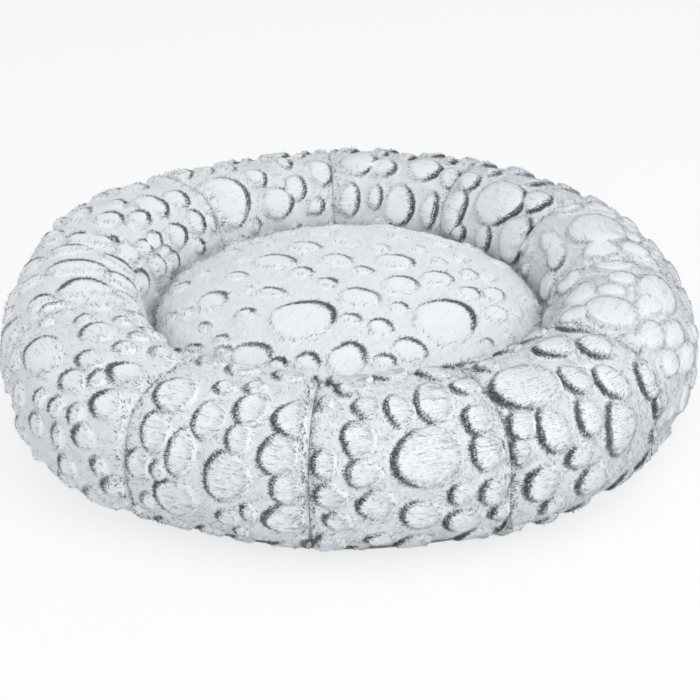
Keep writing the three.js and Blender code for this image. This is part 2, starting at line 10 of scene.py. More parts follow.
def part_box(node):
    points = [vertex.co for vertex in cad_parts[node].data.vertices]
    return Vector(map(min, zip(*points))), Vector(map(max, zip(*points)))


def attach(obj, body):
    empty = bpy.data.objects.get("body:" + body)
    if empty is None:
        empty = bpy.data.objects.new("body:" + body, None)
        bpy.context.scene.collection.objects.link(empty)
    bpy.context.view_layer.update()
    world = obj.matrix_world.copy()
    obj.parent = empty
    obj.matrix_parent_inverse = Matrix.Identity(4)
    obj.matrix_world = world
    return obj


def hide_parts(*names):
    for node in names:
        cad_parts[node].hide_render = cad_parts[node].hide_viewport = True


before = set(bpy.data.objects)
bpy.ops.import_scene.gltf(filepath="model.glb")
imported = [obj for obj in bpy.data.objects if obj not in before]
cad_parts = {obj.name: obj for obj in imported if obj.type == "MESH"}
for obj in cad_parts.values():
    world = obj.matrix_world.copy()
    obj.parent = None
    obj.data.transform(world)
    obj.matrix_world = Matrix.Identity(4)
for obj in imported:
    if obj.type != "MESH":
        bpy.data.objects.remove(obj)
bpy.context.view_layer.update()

mm = 0.001
scene = bpy.context.scene
scene.view_settings.view_transform = "Standard"


# Camera, floor and light

camera = {
    "elevation": 28.61,
    "roll": -0.638,
    "distance": 1.2,
    "target": (0.0027, -0.03836, 0.05347),
    "lens": 85.85,
    "sensor": 36.0,
}

studio = {
    "floorSize": 12.0,
    "floorDrop": 0.0004,
    "floorColor": (0.93, 0.94, 0.95),
    "floorGlow": 0.75,  # share of plain white that the camera sees
    "worldLevel": 0.63,
    "worldColor": (0.97, 0.985, 1.0),
    "topSize": 1.0,
    "topPlace": (0.3, -0.35, 1.7),
    "topPower": 6.5,
    "sideSize": 1.2,
    "sidePlace": (1.4, -1.0, 0.9),
    "sidePower": 6.0,
    "frontSize": 1.4,
    "frontPlace": (-0.35, -1.5, 1.25),
    "frontPower": 6.5,
    "lampColor": (1.0, 0.99, 0.975),
}


def addToScene(name, data):
    item = bpy.data.objects.new(name, data)
    scene.collection.objects.link(item)
    return item


def makeCamera():
    rise = math.radians(camera["elevation"])
    back = Vector((0, -math.cos(rise), math.sin(rise)))
    data = bpy.data.cameras.new("photoCamera")
    data.lens = camera["lens"]
    data.sensor_width = camera["sensor"]
    item = addToScene("photoCamera", data)
    tilt = Matrix.Rotation(math.pi / 2 - rise, 4, "X")
    roll = Matrix.Rotation(math.radians(camera["roll"]), 4, "Z")
    place = Vector(camera["target"]) + back * camera["distance"]
    item.matrix_world = Matrix.Translation(place) @ tilt @ roll
    scene.camera = item


def seenDirectly(nodes, links):
    # camera, glossy and transmission rays added up
    path = nodes.new("ShaderNodeLightPath")
    glossy = nodes.new("ShaderNodeMath")
    glossy.operation = "ADD"
    total = nodes.new("ShaderNodeMath")
    total.operation = "ADD"
    total.use_clamp = True
    links.new(path.outputs["Is Camera Ray"], glossy.inputs[0])
    links.new(path.outputs["Is Glossy Ray"], glossy.inputs[1])
    links.new(glossy.outputs[0], total.inputs[0])
    links.new(path.outputs["Is Transmission Ray"], total.inputs[1])
    return total.outputs[0]


def makeFloor():
    material = bpy.data.materials.new("paleFloor")
    material.use_nodes = True
    nodes = material.node_tree.nodes
    links = material.node_tree.links
    nodes.clear()
    diffuse = nodes.new("ShaderNodeBsdfDiffuse")
    diffuse.inputs["Color"].default_value = (*studio["floorColor"], 1)
    white = nodes.new("ShaderNodeEmission")
    share = nodes.new("ShaderNodeMath")
    share.operation = "MULTIPLY"
    share.inputs[1].default_value = studio["floorGlow"]
    links.new(seenDirectly(nodes, links), share.inputs[0])
    mix = nodes.new("ShaderNodeMixShader")
    links.new(share.outputs[0], mix.inputs[0])
    links.new(diffuse.outputs[0], mix.inputs[1])
    links.new(white.outputs[0], mix.inputs[2])
    output = nodes.new("ShaderNodeOutputMaterial")
    links.new(mix.outputs[0], output.inputs["Surface"])

    bm = bmesh.new()
    bmesh.ops.create_grid(bm, x_segments=1, y_segments=1, size=studio["floorSize"] / 2)
    bmesh.ops.translate(bm, verts=bm.verts, vec=(0, 0, -studio["floorDrop"]))
    mesh = bpy.data.meshes.new("floor")
    bm.to_mesh(mesh)
    bm.free()
    mesh.materials.append(material)
    addToScene("floor", mesh)


def makeWorld():
    world = bpy.data.worlds.new("studioWorld")
    scene.world = world
    world.use_nodes = True
    nodes = world.node_tree.nodes
    links = world.node_tree.links
    lit = nodes["Background"]
    lit.inputs["Color"].default_value = (*studio["worldColor"], 1)
    lit.inputs["Strength"].default_value = studio["worldLevel"]
    seen = nodes.new("ShaderNodeBackground")
    mix = nodes.new("ShaderNodeMixShader")
    links.new(seenDirectly(nodes, links), mix.inputs[0])
    links.new(lit.outputs[0], mix.inputs[1])
    links.new(seen.outputs[0], mix.inputs[2])
    seen.inputs["Color"].default_value = (1, 1, 1, 1)
    links.new(mix.outputs[0], nodes["World Output"].inputs["Surface"])


def makeLamp(name, size, place, power):
    data = bpy.data.lights.new(name, "AREA")
    data.shape = "SQUARE"
    data.size = size
    data.energy = power
    data.color = studio["lampColor"]
    item = addToScene(name, data)
    aim = Vector(camera["target"]) - Vector(place)
    item.matrix_world = Matrix.Translation(place) @ aim.to_track_quat("-Z", "Y").to_matrix().to_4x4()


makeCamera()
makeFloor()
makeWorld()
makeLamp("topLamp", studio["topSize"], studio["topPlace"], studio["topPower"])
makeLamp("sideLamp", studio["sideSize"], studio["sidePlace"], studio["sidePower"])
makeLamp("frontLamp", studio["frontSize"], studio["frontPlace"], studio["frontPower"])
print("camera, floor and light are in place")


# Helpers for meshes, noise and nodes

def finishMesh(bm, name, material, smooth=True):
    mesh = bpy.data.meshes.new(name)
    bm.to_mesh(mesh)
    bm.free()
    mesh.materials.append(material)
    mesh.polygons.foreach_set("use_smooth", [smooth] * len(mesh.polygons))
    return addToScene(name, mesh)


def gridMesh(across, up):
    bm = bmesh.new()
    bm.loops.layers.uv.new("OFBake")
    bmesh.ops.create_grid(bm, x_segments=across, y_segments=up, size=0.5, calc_uvs=True)
    shares = np.array([vert.co[:2] for vert in bm.verts]) + 0.5
    return bm, shares


def moveVerts(verts, points):
    for vert, point in zip(verts, points):
        vert.co = point


def narrowUvs(bm, faces, start, share):
    # keeps the faces' map to one upright strip, so that another sheet has room beside it
    layer = bm.loops.layers.uv["OFBake"]
    for face in faces:
        for loop in face.loops:
            loop[layer].uv.x = start + share * loop[layer].uv.x


def storeAttribute(mesh, name, kind, values):
    attribute = mesh.attributes.new(name, kind, "POINT")
    field = "vector" if kind == "FLOAT_VECTOR" else "value"
    attribute.data.foreach_set(field, np.ascontiguousarray(values, np.float32).ravel())


def softNoise(points, size, offset):
    shift = Vector((offset, offset, offset))
    return np.array([noise.noise(Vector(point) / size + shift) for point in points])


def smoothStep(low, high, value):
    share = np.clip((value - low) / (high - low), 0, 1)
    return share * share * (3 - 2 * share)


def unit(vectors):
    return vectors / np.maximum(np.linalg.norm(vectors, axis=-1, keepdims=True), 1e-9)


def addNode(tree, kind, **settings):
    node = tree.nodes.new(kind)
    for key, value in settings.items():
        setattr(node, key, value)
    return node


def plug(tree, socket, value):
    if isinstance(value, bpy.types.NodeSocket):
        tree.links.new(value, socket)
    else:
        socket.default_value = value


def calculate(tree, operation, *values, clamp=False):
    node = addNode(tree, "ShaderNodeMath", operation=operation, use_clamp=clamp)
    for socket, value in zip(node.inputs, values):
        plug(tree, socket, value)
    return node.outputs[0]


# The ring's wall, with the same sizes as the frame's solids

ring = {
    "outerRadius": 0.250,
    "wellRadius": 0.1435,
    "height": 0.111,
    "fullness": 2.5,
    "seamBearings": (24.5, 55.5, 87, 118, 150, 184, 221.5, 256, 290.5, 324.5, 354),
    "bulges": (5, 3, -1, -2, -6, -5, 10, 0, 8, -7, -6),  # millimetres
    "seamDip": 0.004,
    "dipFalloff": 4,
    "dipEndEase": 0.5,
    "outerEnd": -73.8,
    "seamHalfGap": 0.0008,
    "baseEdgeGap": 0.0016,
    "threadDepth": 0.0054,
    "arcSteps": 400,
}

lowCorner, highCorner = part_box("cushion_under_panel")
axis = (lowCorner + highCorner) / 2
axis.z = 0
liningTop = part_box("base_floor_lining")[1].z
liningShare = 1 - liningTop / (ring["height"] / 2)
innerEnd = 180 + math.degrees(math.asin(liningShare ** (ring["fullness"] / 2)))
seamStarts = np.array(ring["seamBearings"], float)
seamEnds = np.append(seamStarts[1:], seamStarts[0] + 360)
panelMiddles = (seamStarts + seamEnds) / 2
panelCount = len(seamStarts)
sectionAngles = np.linspace(ring["outerEnd"], innerEnd, ring["arcSteps"])


def signedPower(value, power):
    return np.sign(value) * np.abs(value) ** power


def panelOf(bearing):
    turned = (bearing - seamStarts[0]) % 360 + seamStarts[0]
    index = np.searchsorted(seamStarts, turned, side="right") - 1
    return index, (turned - seamStarts[index]) / (seamEnds[index] - seamStarts[index])


def bulgeAt(bearing):
    around = np.concatenate([panelMiddles - 360, panelMiddles, panelMiddles + 360])
    bulges = np.tile(np.array(ring["bulges"]) * mm, 3)
    index = np.searchsorted(around, bearing % 360, side="right") - 1
    share = (bearing % 360 - around[index]) / (around[index + 1] - around[index])
    eased = (1 - np.cos(np.pi * share)) / 2
    return bulges[index] + (bulges[index + 1] - bulges[index]) * eased


def wallSection(bearing, angle, depth):
    # distance from the axis, height, and the outward direction of the wall's section
    outer = ring["outerRadius"] + bulgeAt(bearing)
    halfWidth = (outer - ring["wellRadius"]) / 2
    halfHeight = ring["height"] / 2
    power = 2 / ring["fullness"]
    across = np.cos(np.radians(angle))
    up = np.sin(np.radians(angle))
    sideways = signedPower(across, 2 - power) / halfWidth
    upwards = signedPower(up, 2 - power) / halfHeight
    slope = np.hypot(sideways, upwards)
    along = (angle - ring["outerEnd"]) / (innerEnd - ring["outerEnd"])
    fade = np.maximum(0, np.sin(np.pi * np.clip(along, 0, 1))) ** ring["dipEndEase"]
    dip = ring["seamDip"] * np.abs(2 * panelOf(bearing)[1] - 1) ** ring["dipFalloff"]
    inward = depth + dip * fade
    middle = (outer + ring["wellRadius"]) / 2
    reach = middle + halfWidth * signedPower(across, power) - inward * sideways / slope
    height = halfHeight + halfHeight * signedPower(up, power) - inward * upwards / slope
    return reach, height, sideways / slope, upwards / slope


def onBed(bearing, reach, height):
    angle = np.radians(bearing)
    return np.stack([axis.x + reach * np.sin(angle), axis.y - reach * np.cos(angle), height], -1)


flatReach, flatHeight, _, _ = wallSection(np.zeros_like(sectionAngles), sectionAngles, 0)
arcLengths = np.concatenate([[0], np.cumsum(np.hypot(np.diff(flatReach), np.diff(flatHeight)))])
arcShares = arcLengths / arcLengths[-1]


def wallPoints(bearing, share, depth):
    # points of the wall, with its outward and round-the-ring directions; share runs up and over
    bearing, share = np.broadcast_arrays(np.asarray(bearing, float), np.asarray(share, float))
    angle = np.interp(share, arcShares, sectionAngles)
    reach, height, sideways, upwards = wallSection(bearing, angle, depth)
    turned = np.radians(bearing)
    outward = np.stack([sideways * np.sin(turned), -sideways * np.cos(turned), upwards], -1)
    around = np.stack([np.cos(turned), np.sin(turned), np.zeros_like(turned)], -1)
    return onBed(bearing, reach, height), outward, around


# Sculpted spots: a raised oval each, with a moon of dark hair on the side that the nap comes from

spots = {
    "valleyDepth": 0.0036,  # cloth between the spots, below the wall's surface
    "rise": 0.0034,
    "cushionRise": 0.0020,
    "edgeWidth": 0.0026,
    "softest": 0.45,  # widest soft edge, as a share of the spot
    "lobes": (0.05, 0.035),  # how far a spot strays from an oval, in two waves and in three
    "rimHeight": 0.82,
    "crown": 0.18,  # added towards the spot's middle
    "moonWidth": 0.0018,
    "moonGrowth": 0.066,  # wider on wide spots
    "moonShift": 0.0009,
    "moonOuter": (1.1, 1.0),  # in the spot's half widths from its middle, and the next four
    "moonInner": (0.98, 1.08),
    "moonSide": (0.15, -0.25),
    "streakEdge": (1.0, 0.9),
    # a thin line of painted shadow round the far side of each spot's rim: how far round it reaches, and its
    # width
    "farSide": 0.3,
    "rimShadowWidth": (0.0022, 0.0006),
    "napFan": 0.35,  # how far the nap spreads over a spot
    "napFanEdge": (1.1, 0.8),
    "napReach": 1.25,
    "searchReach": (1.5, 0.006),  # how far from its middle a spot shows: half widths, and metres more
    "darknessSpread": (0.8, 1.1),
    "panelDarkness": (0.95, 0.75, 0.8, 0.95, 1.0, 1.0, 1.0, 1.0, 1.0, 1.0, 1.0),
    "restDarkness": (0.9, 0.5, 0.5, 0.8, 1.0, 1.0, 0.9, 0.6, 0.8, 1.0, 1.0),  # of the spots that weren't read
    # how matted and wild each panel's pile is; this also sets how much painted shade its valleys, seams,
    # grain and spots get
    "panelMattedShade": (0.9, 0.35, 0.25, 0.3, 0.3, 0.3, 0.15, 0.1, 0.4, 0.9, 1.0),
    "panelMoon": (1.0, 0.8, 0.8, 1.0, 1.0, 1.1, 1.8, 2.6, 2.1, 1.2, 1.0),  # how wide its moons are
    "panelSoftness": (1.0, 1.3, 1.4, 1.1, 1.0, 1.0, 1.3, 1.7, 1.5, 1.0, 1.0),
    "cushionMoon": 1.7,
    # the cushion's matting and painted shade, as for the panels
    "cushionMattedShade": 0.12,
    "cushionFill": (9, 7, 5),  # millimetres
    "cushionFillDarkness": 0.3,
    "streakReach": 0.009,
    "fillSizes": (11.5, 9, 7.5, 6, 4.8),  # millimetres
    "fillTries": 200,
    "fillWide": (0.85, 1.1),
    "fillHigh": (0.9, 1.25),
    "fillAcross": (-0.02, 1.02),
    "fillUp": (0.02, 0.99),
    "cushionWide": (0.85, 1.15),
    "cushionDeep": (0.85, 1.1),
    "cushionMargin": 2.0,  # millimetres
    "insideMargin": 0.01,  # degrees from the seam to the last place that the wall is worked out for
    "reachBehind": 0.025,  # so that a spot leaves the far side of the bolster alone
    "gap": 0.0036,
    "cushionGap": 0.009,
    "coverEdge": (0.78, 0.95),  # where one spot lies over another, only the upper one's moon shows
    "readStretches": {
        1: (0.12, 0.56), 2: (0.33, 0.78), 3: (0.42, 0.82), 4: (0.55, 0.8), 5: (0.53, 0.8), 6: (0.53, 0.78),
        7: (0.44, 0.8), 8: (0.38, 0.78), 9: (0.16, 0.56), 10: (0.12, 0.56), 11: (0.12, 0.56),
    },
    "readFill": 5.0,  # largest half width that is filled in there, in millimetres
    "readGap": 0.0075,
    "seed": 11,
}

# Spots read: share across the panel, share up the wall, half width and half height in millimetres,
# and how dark the moon is where it isn't as dark as most
ringSpots = {
    1: (
        (0.22, 0.475, 23, 18), (0.23, 0.35, 11, 14), (0.08, 0.38, 8.5, 10), (0.05, 0.32, 7, 9),
        (0.34, 0.275, 9.5, 8), (0.15, 0.23, 12, 12.5), (0.43, 0.197, 13, 11), (0.44, 0.355, 10, 12),
        (0.62, 0.295, 14, 18), (0.5, 0.445, 11, 11), (0.69, 0.4, 11, 14), (0.95, 0.35, 14, 12),
        (0.97, 0.28, 7, 9), (0.22, 0.155, 9, 7), (0.62, 0.545, 14, 12), (0.83, 0.49, 11, 12),
    ),
    2: (
        (0.98, 0.547, 18, 15, 0.5), (0.94, 0.67, 20, 11, 0.8), (0.7, 0.532, 10, 11, 0.5),
        (0.51, 0.547, 9.5, 10, 0.4), (0.49, 0.622, 15, 12, 0.25), (0.65, 0.447, 26, 15, 0.45),
        (0.24, 0.525, 19, 19, 0.6), (0.47, 0.46, 13, 9, 0.2), (0.21, 0.42, 17, 10, 0.5),
        (0.13, 0.6, 12, 10, 0.5), (0.02, 0.44, 13, 8, 0.9), (0.19, 0.337, 12, 9, 0.6),
        (0.4, 0.37, 16, 8, 0.2), (0.42, 0.3, 14, 9, 0.2),
    ),
    3: (
        (0.5, 0.545, 24, 23, 0.65), (0.18, 0.57, 12, 12, 0.6), (0.98, 0.552, 12, 12, 0.5),
        (0.87, 0.472, 12, 13, 0.5), (0.66, 0.667, 14, 8, 0.2), (0.43, 0.68, 14, 9),
        (0.18, 0.485, 10, 11, 0.3), (0.05, 0.477, 8, 10, 0.4), (0.27, 0.755, 15, 10, 0.8),
    ),
    4: (
        (0.49, 0.64, 21, 20), (0.9, 0.71, 11, 17), (0.5, 0.76, 8, 10), (0.13, 0.72, 15, 18),
        (0.77, 0.765, 5.5, 6), (0.2, 0.59, 11, 12), (0.88, 0.6, 10, 9),
    ),
    5: (
        (0.8, 0.575, 16, 14), (0.6, 0.6, 11, 9), (0.28, 0.585, 15, 12), (0.87, 0.71, 9, 13),
        (0.64, 0.7, 6.5, 9), (0.42, 0.72, 12, 17), (0.13, 0.72, 7.5, 13), (0.05, 0.6, 9, 10),
    ),
    6: (
        (0.88, 0.655, 21, 22), (0.57, 0.605, 9, 10), (0.47, 0.7, 13, 13), (0.3, 0.66, 9, 11),
        (0.33, 0.56, 8, 8), (0.16, 0.725, 8, 6), (0.69, 0.755, 5.5, 5.5), (0.09, 0.61, 11, 13),
    ),
    7: (
        (0.78, 0.55, 11, 10), (0.58, 0.53, 7, 7), (0.3, 0.49, 12, 9, 0.8), (0.75, 0.46, 12, 9, 0.8),
        (0.45, 0.59, 15, 13), (0.22, 0.602, 12, 10), (0.65, 0.607, 11, 8), (0.48, 0.7, 12, 10),
        (0.22, 0.69, 9, 9), (0.74, 0.675, 11, 7), (0.9, 0.672, 10, 6), (0.65, 0.757, 9, 7),
        (0.9, 0.735, 11, 8), (0.3, 0.755, 6, 6), (0.68, 0.72, 5, 4), (0.09, 0.707, 6, 7, 0.7),
    ),
    8: (
        (0.1, 0.545, 14, 18), (0.28, 0.5, 8, 18, 0.8), (0.53, 0.535, 12, 22), (0.82, 0.56, 13, 20),
        (0.84, 0.45, 10, 9), (0.97, 0.48, 7, 9, 0.8), (0.1, 0.647, 15, 8), (0.33, 0.64, 9, 14, 0.8),
        (0.3, 0.72, 16, 8), (0.58, 0.66, 10, 13, 0.7), (0.83, 0.68, 11, 13, 0.6), (0.55, 0.42, 8, 10, 0.6),
        (0.3, 0.4, 9, 11, 0.7), (0.05, 0.44, 8, 10, 0.7),
    ),
    9: (
        (0.22, 0.53, 8, 6, 0.8), (0.32, 0.405, 22, 13, 0.9), (0.41, 0.53, 12, 11), (0.6, 0.465, 12, 7),
        (0.62, 0.405, 12, 8), (0.73, 0.435, 6, 6), (0.84, 0.475, 14, 10), (0.66, 0.535, 8, 6, 0.7),
        (0.87, 0.385, 11, 10), (0.5, 0.33, 6, 6), (0.62, 0.335, 7, 6), (0.74, 0.34, 6, 6),
        (0.5, 0.265, 9, 7), (0.8, 0.295, 8, 8), (0.66, 0.27, 6, 8), (0.88, 0.23, 6, 6), (0.94, 0.18, 9, 6),
        (0.7, 0.2, 8, 8), (0.13, 0.34, 10, 9, 0.6), (0.3, 0.29, 9, 8, 0.7), (0.3, 0.2, 10, 8, 0.8),
        (0.85, 0.58, 11, 8, 0.6),
    ),
    10: (
        (0.19, 0.453, 14, 12), (0.44, 0.405, 11, 12), (0.66, 0.45, 11, 11), (0.45, 0.5, 7, 5),
        (0.63, 0.515, 7, 5), (0.17, 0.35, 10, 12), (0.33, 0.315, 9.5, 14), (0.63, 0.37, 8.5, 9),
        (0.85, 0.345, 12, 12.5), (0.59, 0.28, 14.5, 16), (0.1, 0.265, 9, 10), (0.3, 0.2, 15, 14),
        (0.9, 0.27, 11.5, 9), (0.9, 0.19, 15.5, 11), (0.58, 0.175, 7, 6.5), (0.7, 0.2, 5, 6),
        (0.15, 0.165, 9, 7), (0.22, 0.265, 5.5, 6), (0.64, 0.13, 5, 4), (0.97, 0.44, 19, 14),
    ),
    11: (
        (0.59, 0.336, 21, 18.5), (0.48, 0.46, 9.2, 11.8), (0.68, 0.475, 12.5, 15), (0.3, 0.47, 8, 8.5),
        (0.25, 0.385, 10.5, 11), (0.27, 0.31, 10.5, 8.5), (0.33, 0.235, 11.7, 9.5), (0.55, 0.2, 13.5, 10),
        (0.76, 0.165, 13, 9), (0.73, 0.24, 7, 7), (0.9, 0.235, 9, 9.5), (0.88, 0.33, 10.5, 11),
        (0.87, 0.41, 8.5, 10), (0.91, 0.51, 10.5, 8), (0.36, 0.13, 11, 6), (0.95, 0.17, 7.5, 6),
        (0.23, 0.54, 10, 8), (0.08, 0.33, 7.5, 9), (0.11, 0.255, 10, 7.5), (0.145, 0.19, 9, 6.5),
    ),
}

# Stretches of a panel's length, each panel's own, where the spots stand in rows instead
rowSpots = {
    "stretches": {
        1: ((0.65, 0.9),),
        2: ((0.08, 0.25), (0.8, 0.9)),
        3: ((0.08, 0.36), (0.87, 0.9)),
        4: ((0.08, 0.48), (0.87, 0.9)),
        5: ((0.08, 0.46), (0.84, 0.9)),
        6: ((0.08, 0.46), (0.84, 0.9)),
        7: ((0.08, 0.35), (0.85, 0.9)),
        8: ((0.08, 0.3), (0.83, 0.9)),
        9: ((0.09, 0.12), (0.68, 0.9)),
        10: ((0.6, 0.9),),
        11: ((0.6, 0.9),),
    },
    "pitch": 0.125,
    "columns": ((0.18, 0.5, 0.82), (0.34, 0.67)),
    "size": 12.9,  # half width in millimetres
    "wobbleAcross": 0.05,
    "wobbleAlong": 0.018,
    "wobbleSize": 2.8,
    "wobbleTurns": (7, 3, 5),
}

# The cushion's spots: place from its middle, half width and half depth, all in millimetres, and darkness
cushionSpots = (
    (-54, 21, 16, 13, 0.7), (-32, 46, 12, 10, 0.75), (-8, 18, 12, 10.5, 0.65), (-1, 56, 11, 9, 0.4),
    (24, 41, 8, 8.5, 0.45), (-33, 0, 8, 7.5, 0.85), (-81, 5, 7.5, 7, 0.85), (-82, 35, 4.5, 3.5, 0.4),
    (-98, -27, 11, 12.5), (-126, 16, 9, 6.5, 0.7), (-71, -20, 4, 4, 0.5), (-54, -29, 10, 7, 0.9),
    (-15, -19, 8, 7.5, 0.9), (8, -42, 13.5, 14, 0.85), (-32, -68, 22.5, 23.5), (-72, -53, 7, 6, 0.9),
    (-117, -31, 6, 6, 0.6), (-131, -27, 7, 6, 0.55), (-102, -55, 4, 4.5, 0.9), (2, -69, 7, 6.5, 0.9),
    (22, -79, 8.5, 10, 0.85), (-67, -98, 13, 14), (-48, -110, 6.5, 6.5), (-28, -111, 8.5, 8.5),
    (-1, -111, 13, 15.5), (25, -112, 6.5, 7.5, 0.95), (12, 1, 7, 5.5, 0.85), (-110, -74, 6.5, 5),
    (-89, -75, 5.5, 4.5, 0.7), (35, 16, 13, 13.5, 0.75), (38, -22, 12.5, 14, 0.75), (53, 43, 6, 7, 0.55),
    (68, 22, 5.5, 6.5, 0.6), (65, -8, 10.5, 12.5, 0.75), (89, 7, 6, 8.5, 0.7), (86, 39, 7, 10.5, 0.3),
    (88, -24, 7, 10, 0.85), (106, -17, 8, 14, 0.75), (68, -64, 21.5, 26), (106, -43, 8, 13.5, 0.5),
    (36, -54, 6, 7, 0.9), (42, -100, 10.5, 13.5, 0.9), (98, -77, 4, 5.5, 0.9), (115, -63, 3.5, 4.5, 0.5),
    (105, 13, 5.5, 9.5, 0.3), (-110, 28, 8, 5, 0.4), (-65, 68, 12.5, 7, 0.4), (-21, 82, 12.5, 8.5, 0.35),
    (41, 70, 8.5, 9, 0.35), (-86, -88, 6.5, 5, 0.6), (122, -32, 5, 10, 0.3), (-90, 62, 10, 8, 0.4),
    (72, 68, 9, 9, 0.4), (-50, 96, 10, 9, 0.4), (-8, 108, 10, 9, 0.4), (36, 100, 10, 8, 0.4),
)


def spotShape(place, side, up, halfWidth, halfHeight, darkness, moon, softness, rng):
    return {
        "place": place,
        "side": side,
        "up": up,
        "size": (halfWidth * mm, halfHeight * mm),
        "lobes": (rng.uniform(0, 2 * math.pi), rng.uniform(0, 2 * math.pi)),
        "dark": darkness * rng.uniform(*spots["darknessSpread"]),
        "moon": moon,
        "softness": softness,
    }


def roomFor(found, shape, gap):
    for other in found:
        away = shape["place"] - other["place"]
        if abs(away @ np.cross(other["side"], other["up"])) > spots["reachBehind"]:
            continue
        wide = away @ other["side"] / (shape["size"][0] + other["size"][0] + gap)
        high = away @ other["up"] / (shape["size"][1] + other["size"][1] + gap)
        if wide * wide + high * high < 1:
            return False
    return True


def sculpt(points, side, up, shapes):
    # height, dark moon, streaks, far edge's painted shadow line and nap direction at each point; the nap
    # points away from side
    count = len(points)
    height = np.zeros(count)
    dark = np.zeros(count)
    streak = np.zeros(count)
    edge = np.zeros(count)
    covered = np.full(count, np.inf)  # nearness to the middle of the closest spot so far
    nap = -side
    searchShare, searchMargin = spots["searchReach"]
    twoWaves, threeWaves = spots["lobes"]
    moonStart, moonEnd = spots["moonSide"]
    for shape in shapes:
        sideDirection, upDirection = shape["side"], shape["up"]
        away = points - shape["place"]
        x = away @ sideDirection
        y = away @ upDirection
        wide, high = shape["size"]
        behind = away @ np.cross(sideDirection, upDirection)
        beside = (np.abs(x) < wide * searchShare + searchMargin) & (np.abs(y) < high * searchShare)
        near = np.where(beside & (np.abs(behind) < spots["reachBehind"]))[0]
        if len(near) == 0:
            continue
        x, y = x[near], y[near]
        turned = np.arctan2(y / high, x / wide)
        lobes = 1 + twoWaves * np.sin(2 * turned + shape["lobes"][0])
        lobes = lobes + threeWaves * np.sin(3 * turned + shape["lobes"][1])
        out = np.hypot(x / wide, y / high) / lobes
        soft = min(spots["softest"], shape["softness"] * spots["edgeWidth"] / min(wide, high)) / 2
        pillow = smoothStep(1 + soft, 1 - soft, out)
        pillow = pillow * (spots["rimHeight"] + spots["crown"] * np.clip(1 - out ** 2, 0, 1))
        height[near] = np.maximum(height[near], pillow)
        width = shape["moon"] * (spots["moonWidth"] + spots["moonGrowth"] * wide)
        shifted = np.hypot((x - width) / wide, y / high) / lobes
        inside = smoothStep(*spots["moonOuter"], np.hypot((x + spots["moonShift"]) / wide, y / high) / lobes)
        moon = inside * smoothStep(*spots["moonInner"], shifted)
        moon = moon * smoothStep(moonStart * wide, moonEnd * wide, x)
        moon = moon * smoothStep(*spots["coverEdge"], covered[near])
        uncovered = np.where(out < covered[near], smoothStep(*spots["coverEdge"], out), 1)
        covered[near] = np.minimum(covered[near], out)
        dark[near] = np.maximum(dark[near] * uncovered, moon * shape["dark"])
        fan = smoothStep(*spots["streakEdge"], out) * np.exp(-(x + wide) / spots["streakReach"])
        streak[near] = np.maximum(streak[near], fan)
        # a thin line of painted shadow along the rim, on the spot's far side
        rim = np.abs(out - 1.0) * min(wide, high)
        farSide = spots["farSide"] * wide
        far = smoothStep(*spots["rimShadowWidth"], rim) * smoothStep(-farSide, farSide, x)
        edge[near] = np.maximum(edge[near] * uncovered, far)
        outward = (x / wide)[:, None] * sideDirection + (y / high)[:, None] * upDirection
        fanned = spots["napFan"] * (y / high)[:, None] * upDirection
        spread = -side[near] + fanned * smoothStep(*spots["napFanEdge"], out)[:, None]
        lean = np.clip(moon, 0, 1)[:, None]
        here = unit(spread) * (1 - lean) + unit(outward) * lean
        inSpot = out < spots["napReach"]
        nap[near[inSpot]] = here[inSpot]
    return height, dark, streak, edge, unit(nap)


# Cloth simulation: a coarse skin, held at its seams, is blown out by its filling

puff = {
    "columns": 18,  # of each panel
    "rows": 56,
    "cushionCells": 64,
    "wellStart": (0.5, 0.75),  # shares up the wall where the gathered cloth begins
    "cushionEdge": (0.06, 0.02),
    "start": 0.002,  # the skin swells, so it starts this far inside
    "frames": 20,
    "pressure": 4.0,
    "slack": 0.02,
    "wellSlack": 0.06,  # more cloth than needed on the well's side, where it gathers
    "tension": 15.0,
    "bending": 0.5,
    "mass": 0.3,
    "quality": 5,
    "cap": 0.0036,  # a point moves no further than this
    "smoothing": 3,
}


def fillSkin(skin, held, gathered):
    # one step at a time through the filling's pressure; returns the skin's points at the end
    names = ("held", "gathered")
    for name, weights in zip(names, (held, gathered)):
        group = skin.vertex_groups.new(name=name)
        for index, weight in enumerate(weights):
            group.add([index], float(weight), "REPLACE")
    filling = skin.modifiers.new("filling", "CLOTH")
    settings = filling.settings
    settings.quality = puff["quality"]
    settings.mass = puff["mass"]
    settings.tension_stiffness = puff["tension"]
    settings.compression_stiffness = puff["tension"]
    settings.bending_stiffness = puff["bending"]
    settings.vertex_group_mass, settings.vertex_group_shrink = names
    settings.shrink_min = -puff["slack"]
    settings.shrink_max = -puff["wellSlack"]
    settings.use_pressure = True
    settings.uniform_pressure_force = puff["pressure"]
    settings.effector_weights.gravity = 0
    filling.collision_settings.use_collision = False
    filling.point_cache.frame_end = puff["frames"]
    for step in range(1, puff["frames"] + 1):
        scene.frame_set(step)
    shown = skin.evaluated_get(bpy.context.evaluated_depsgraph_get())
    return np.array([vert.co for vert in shown.data.vertices])


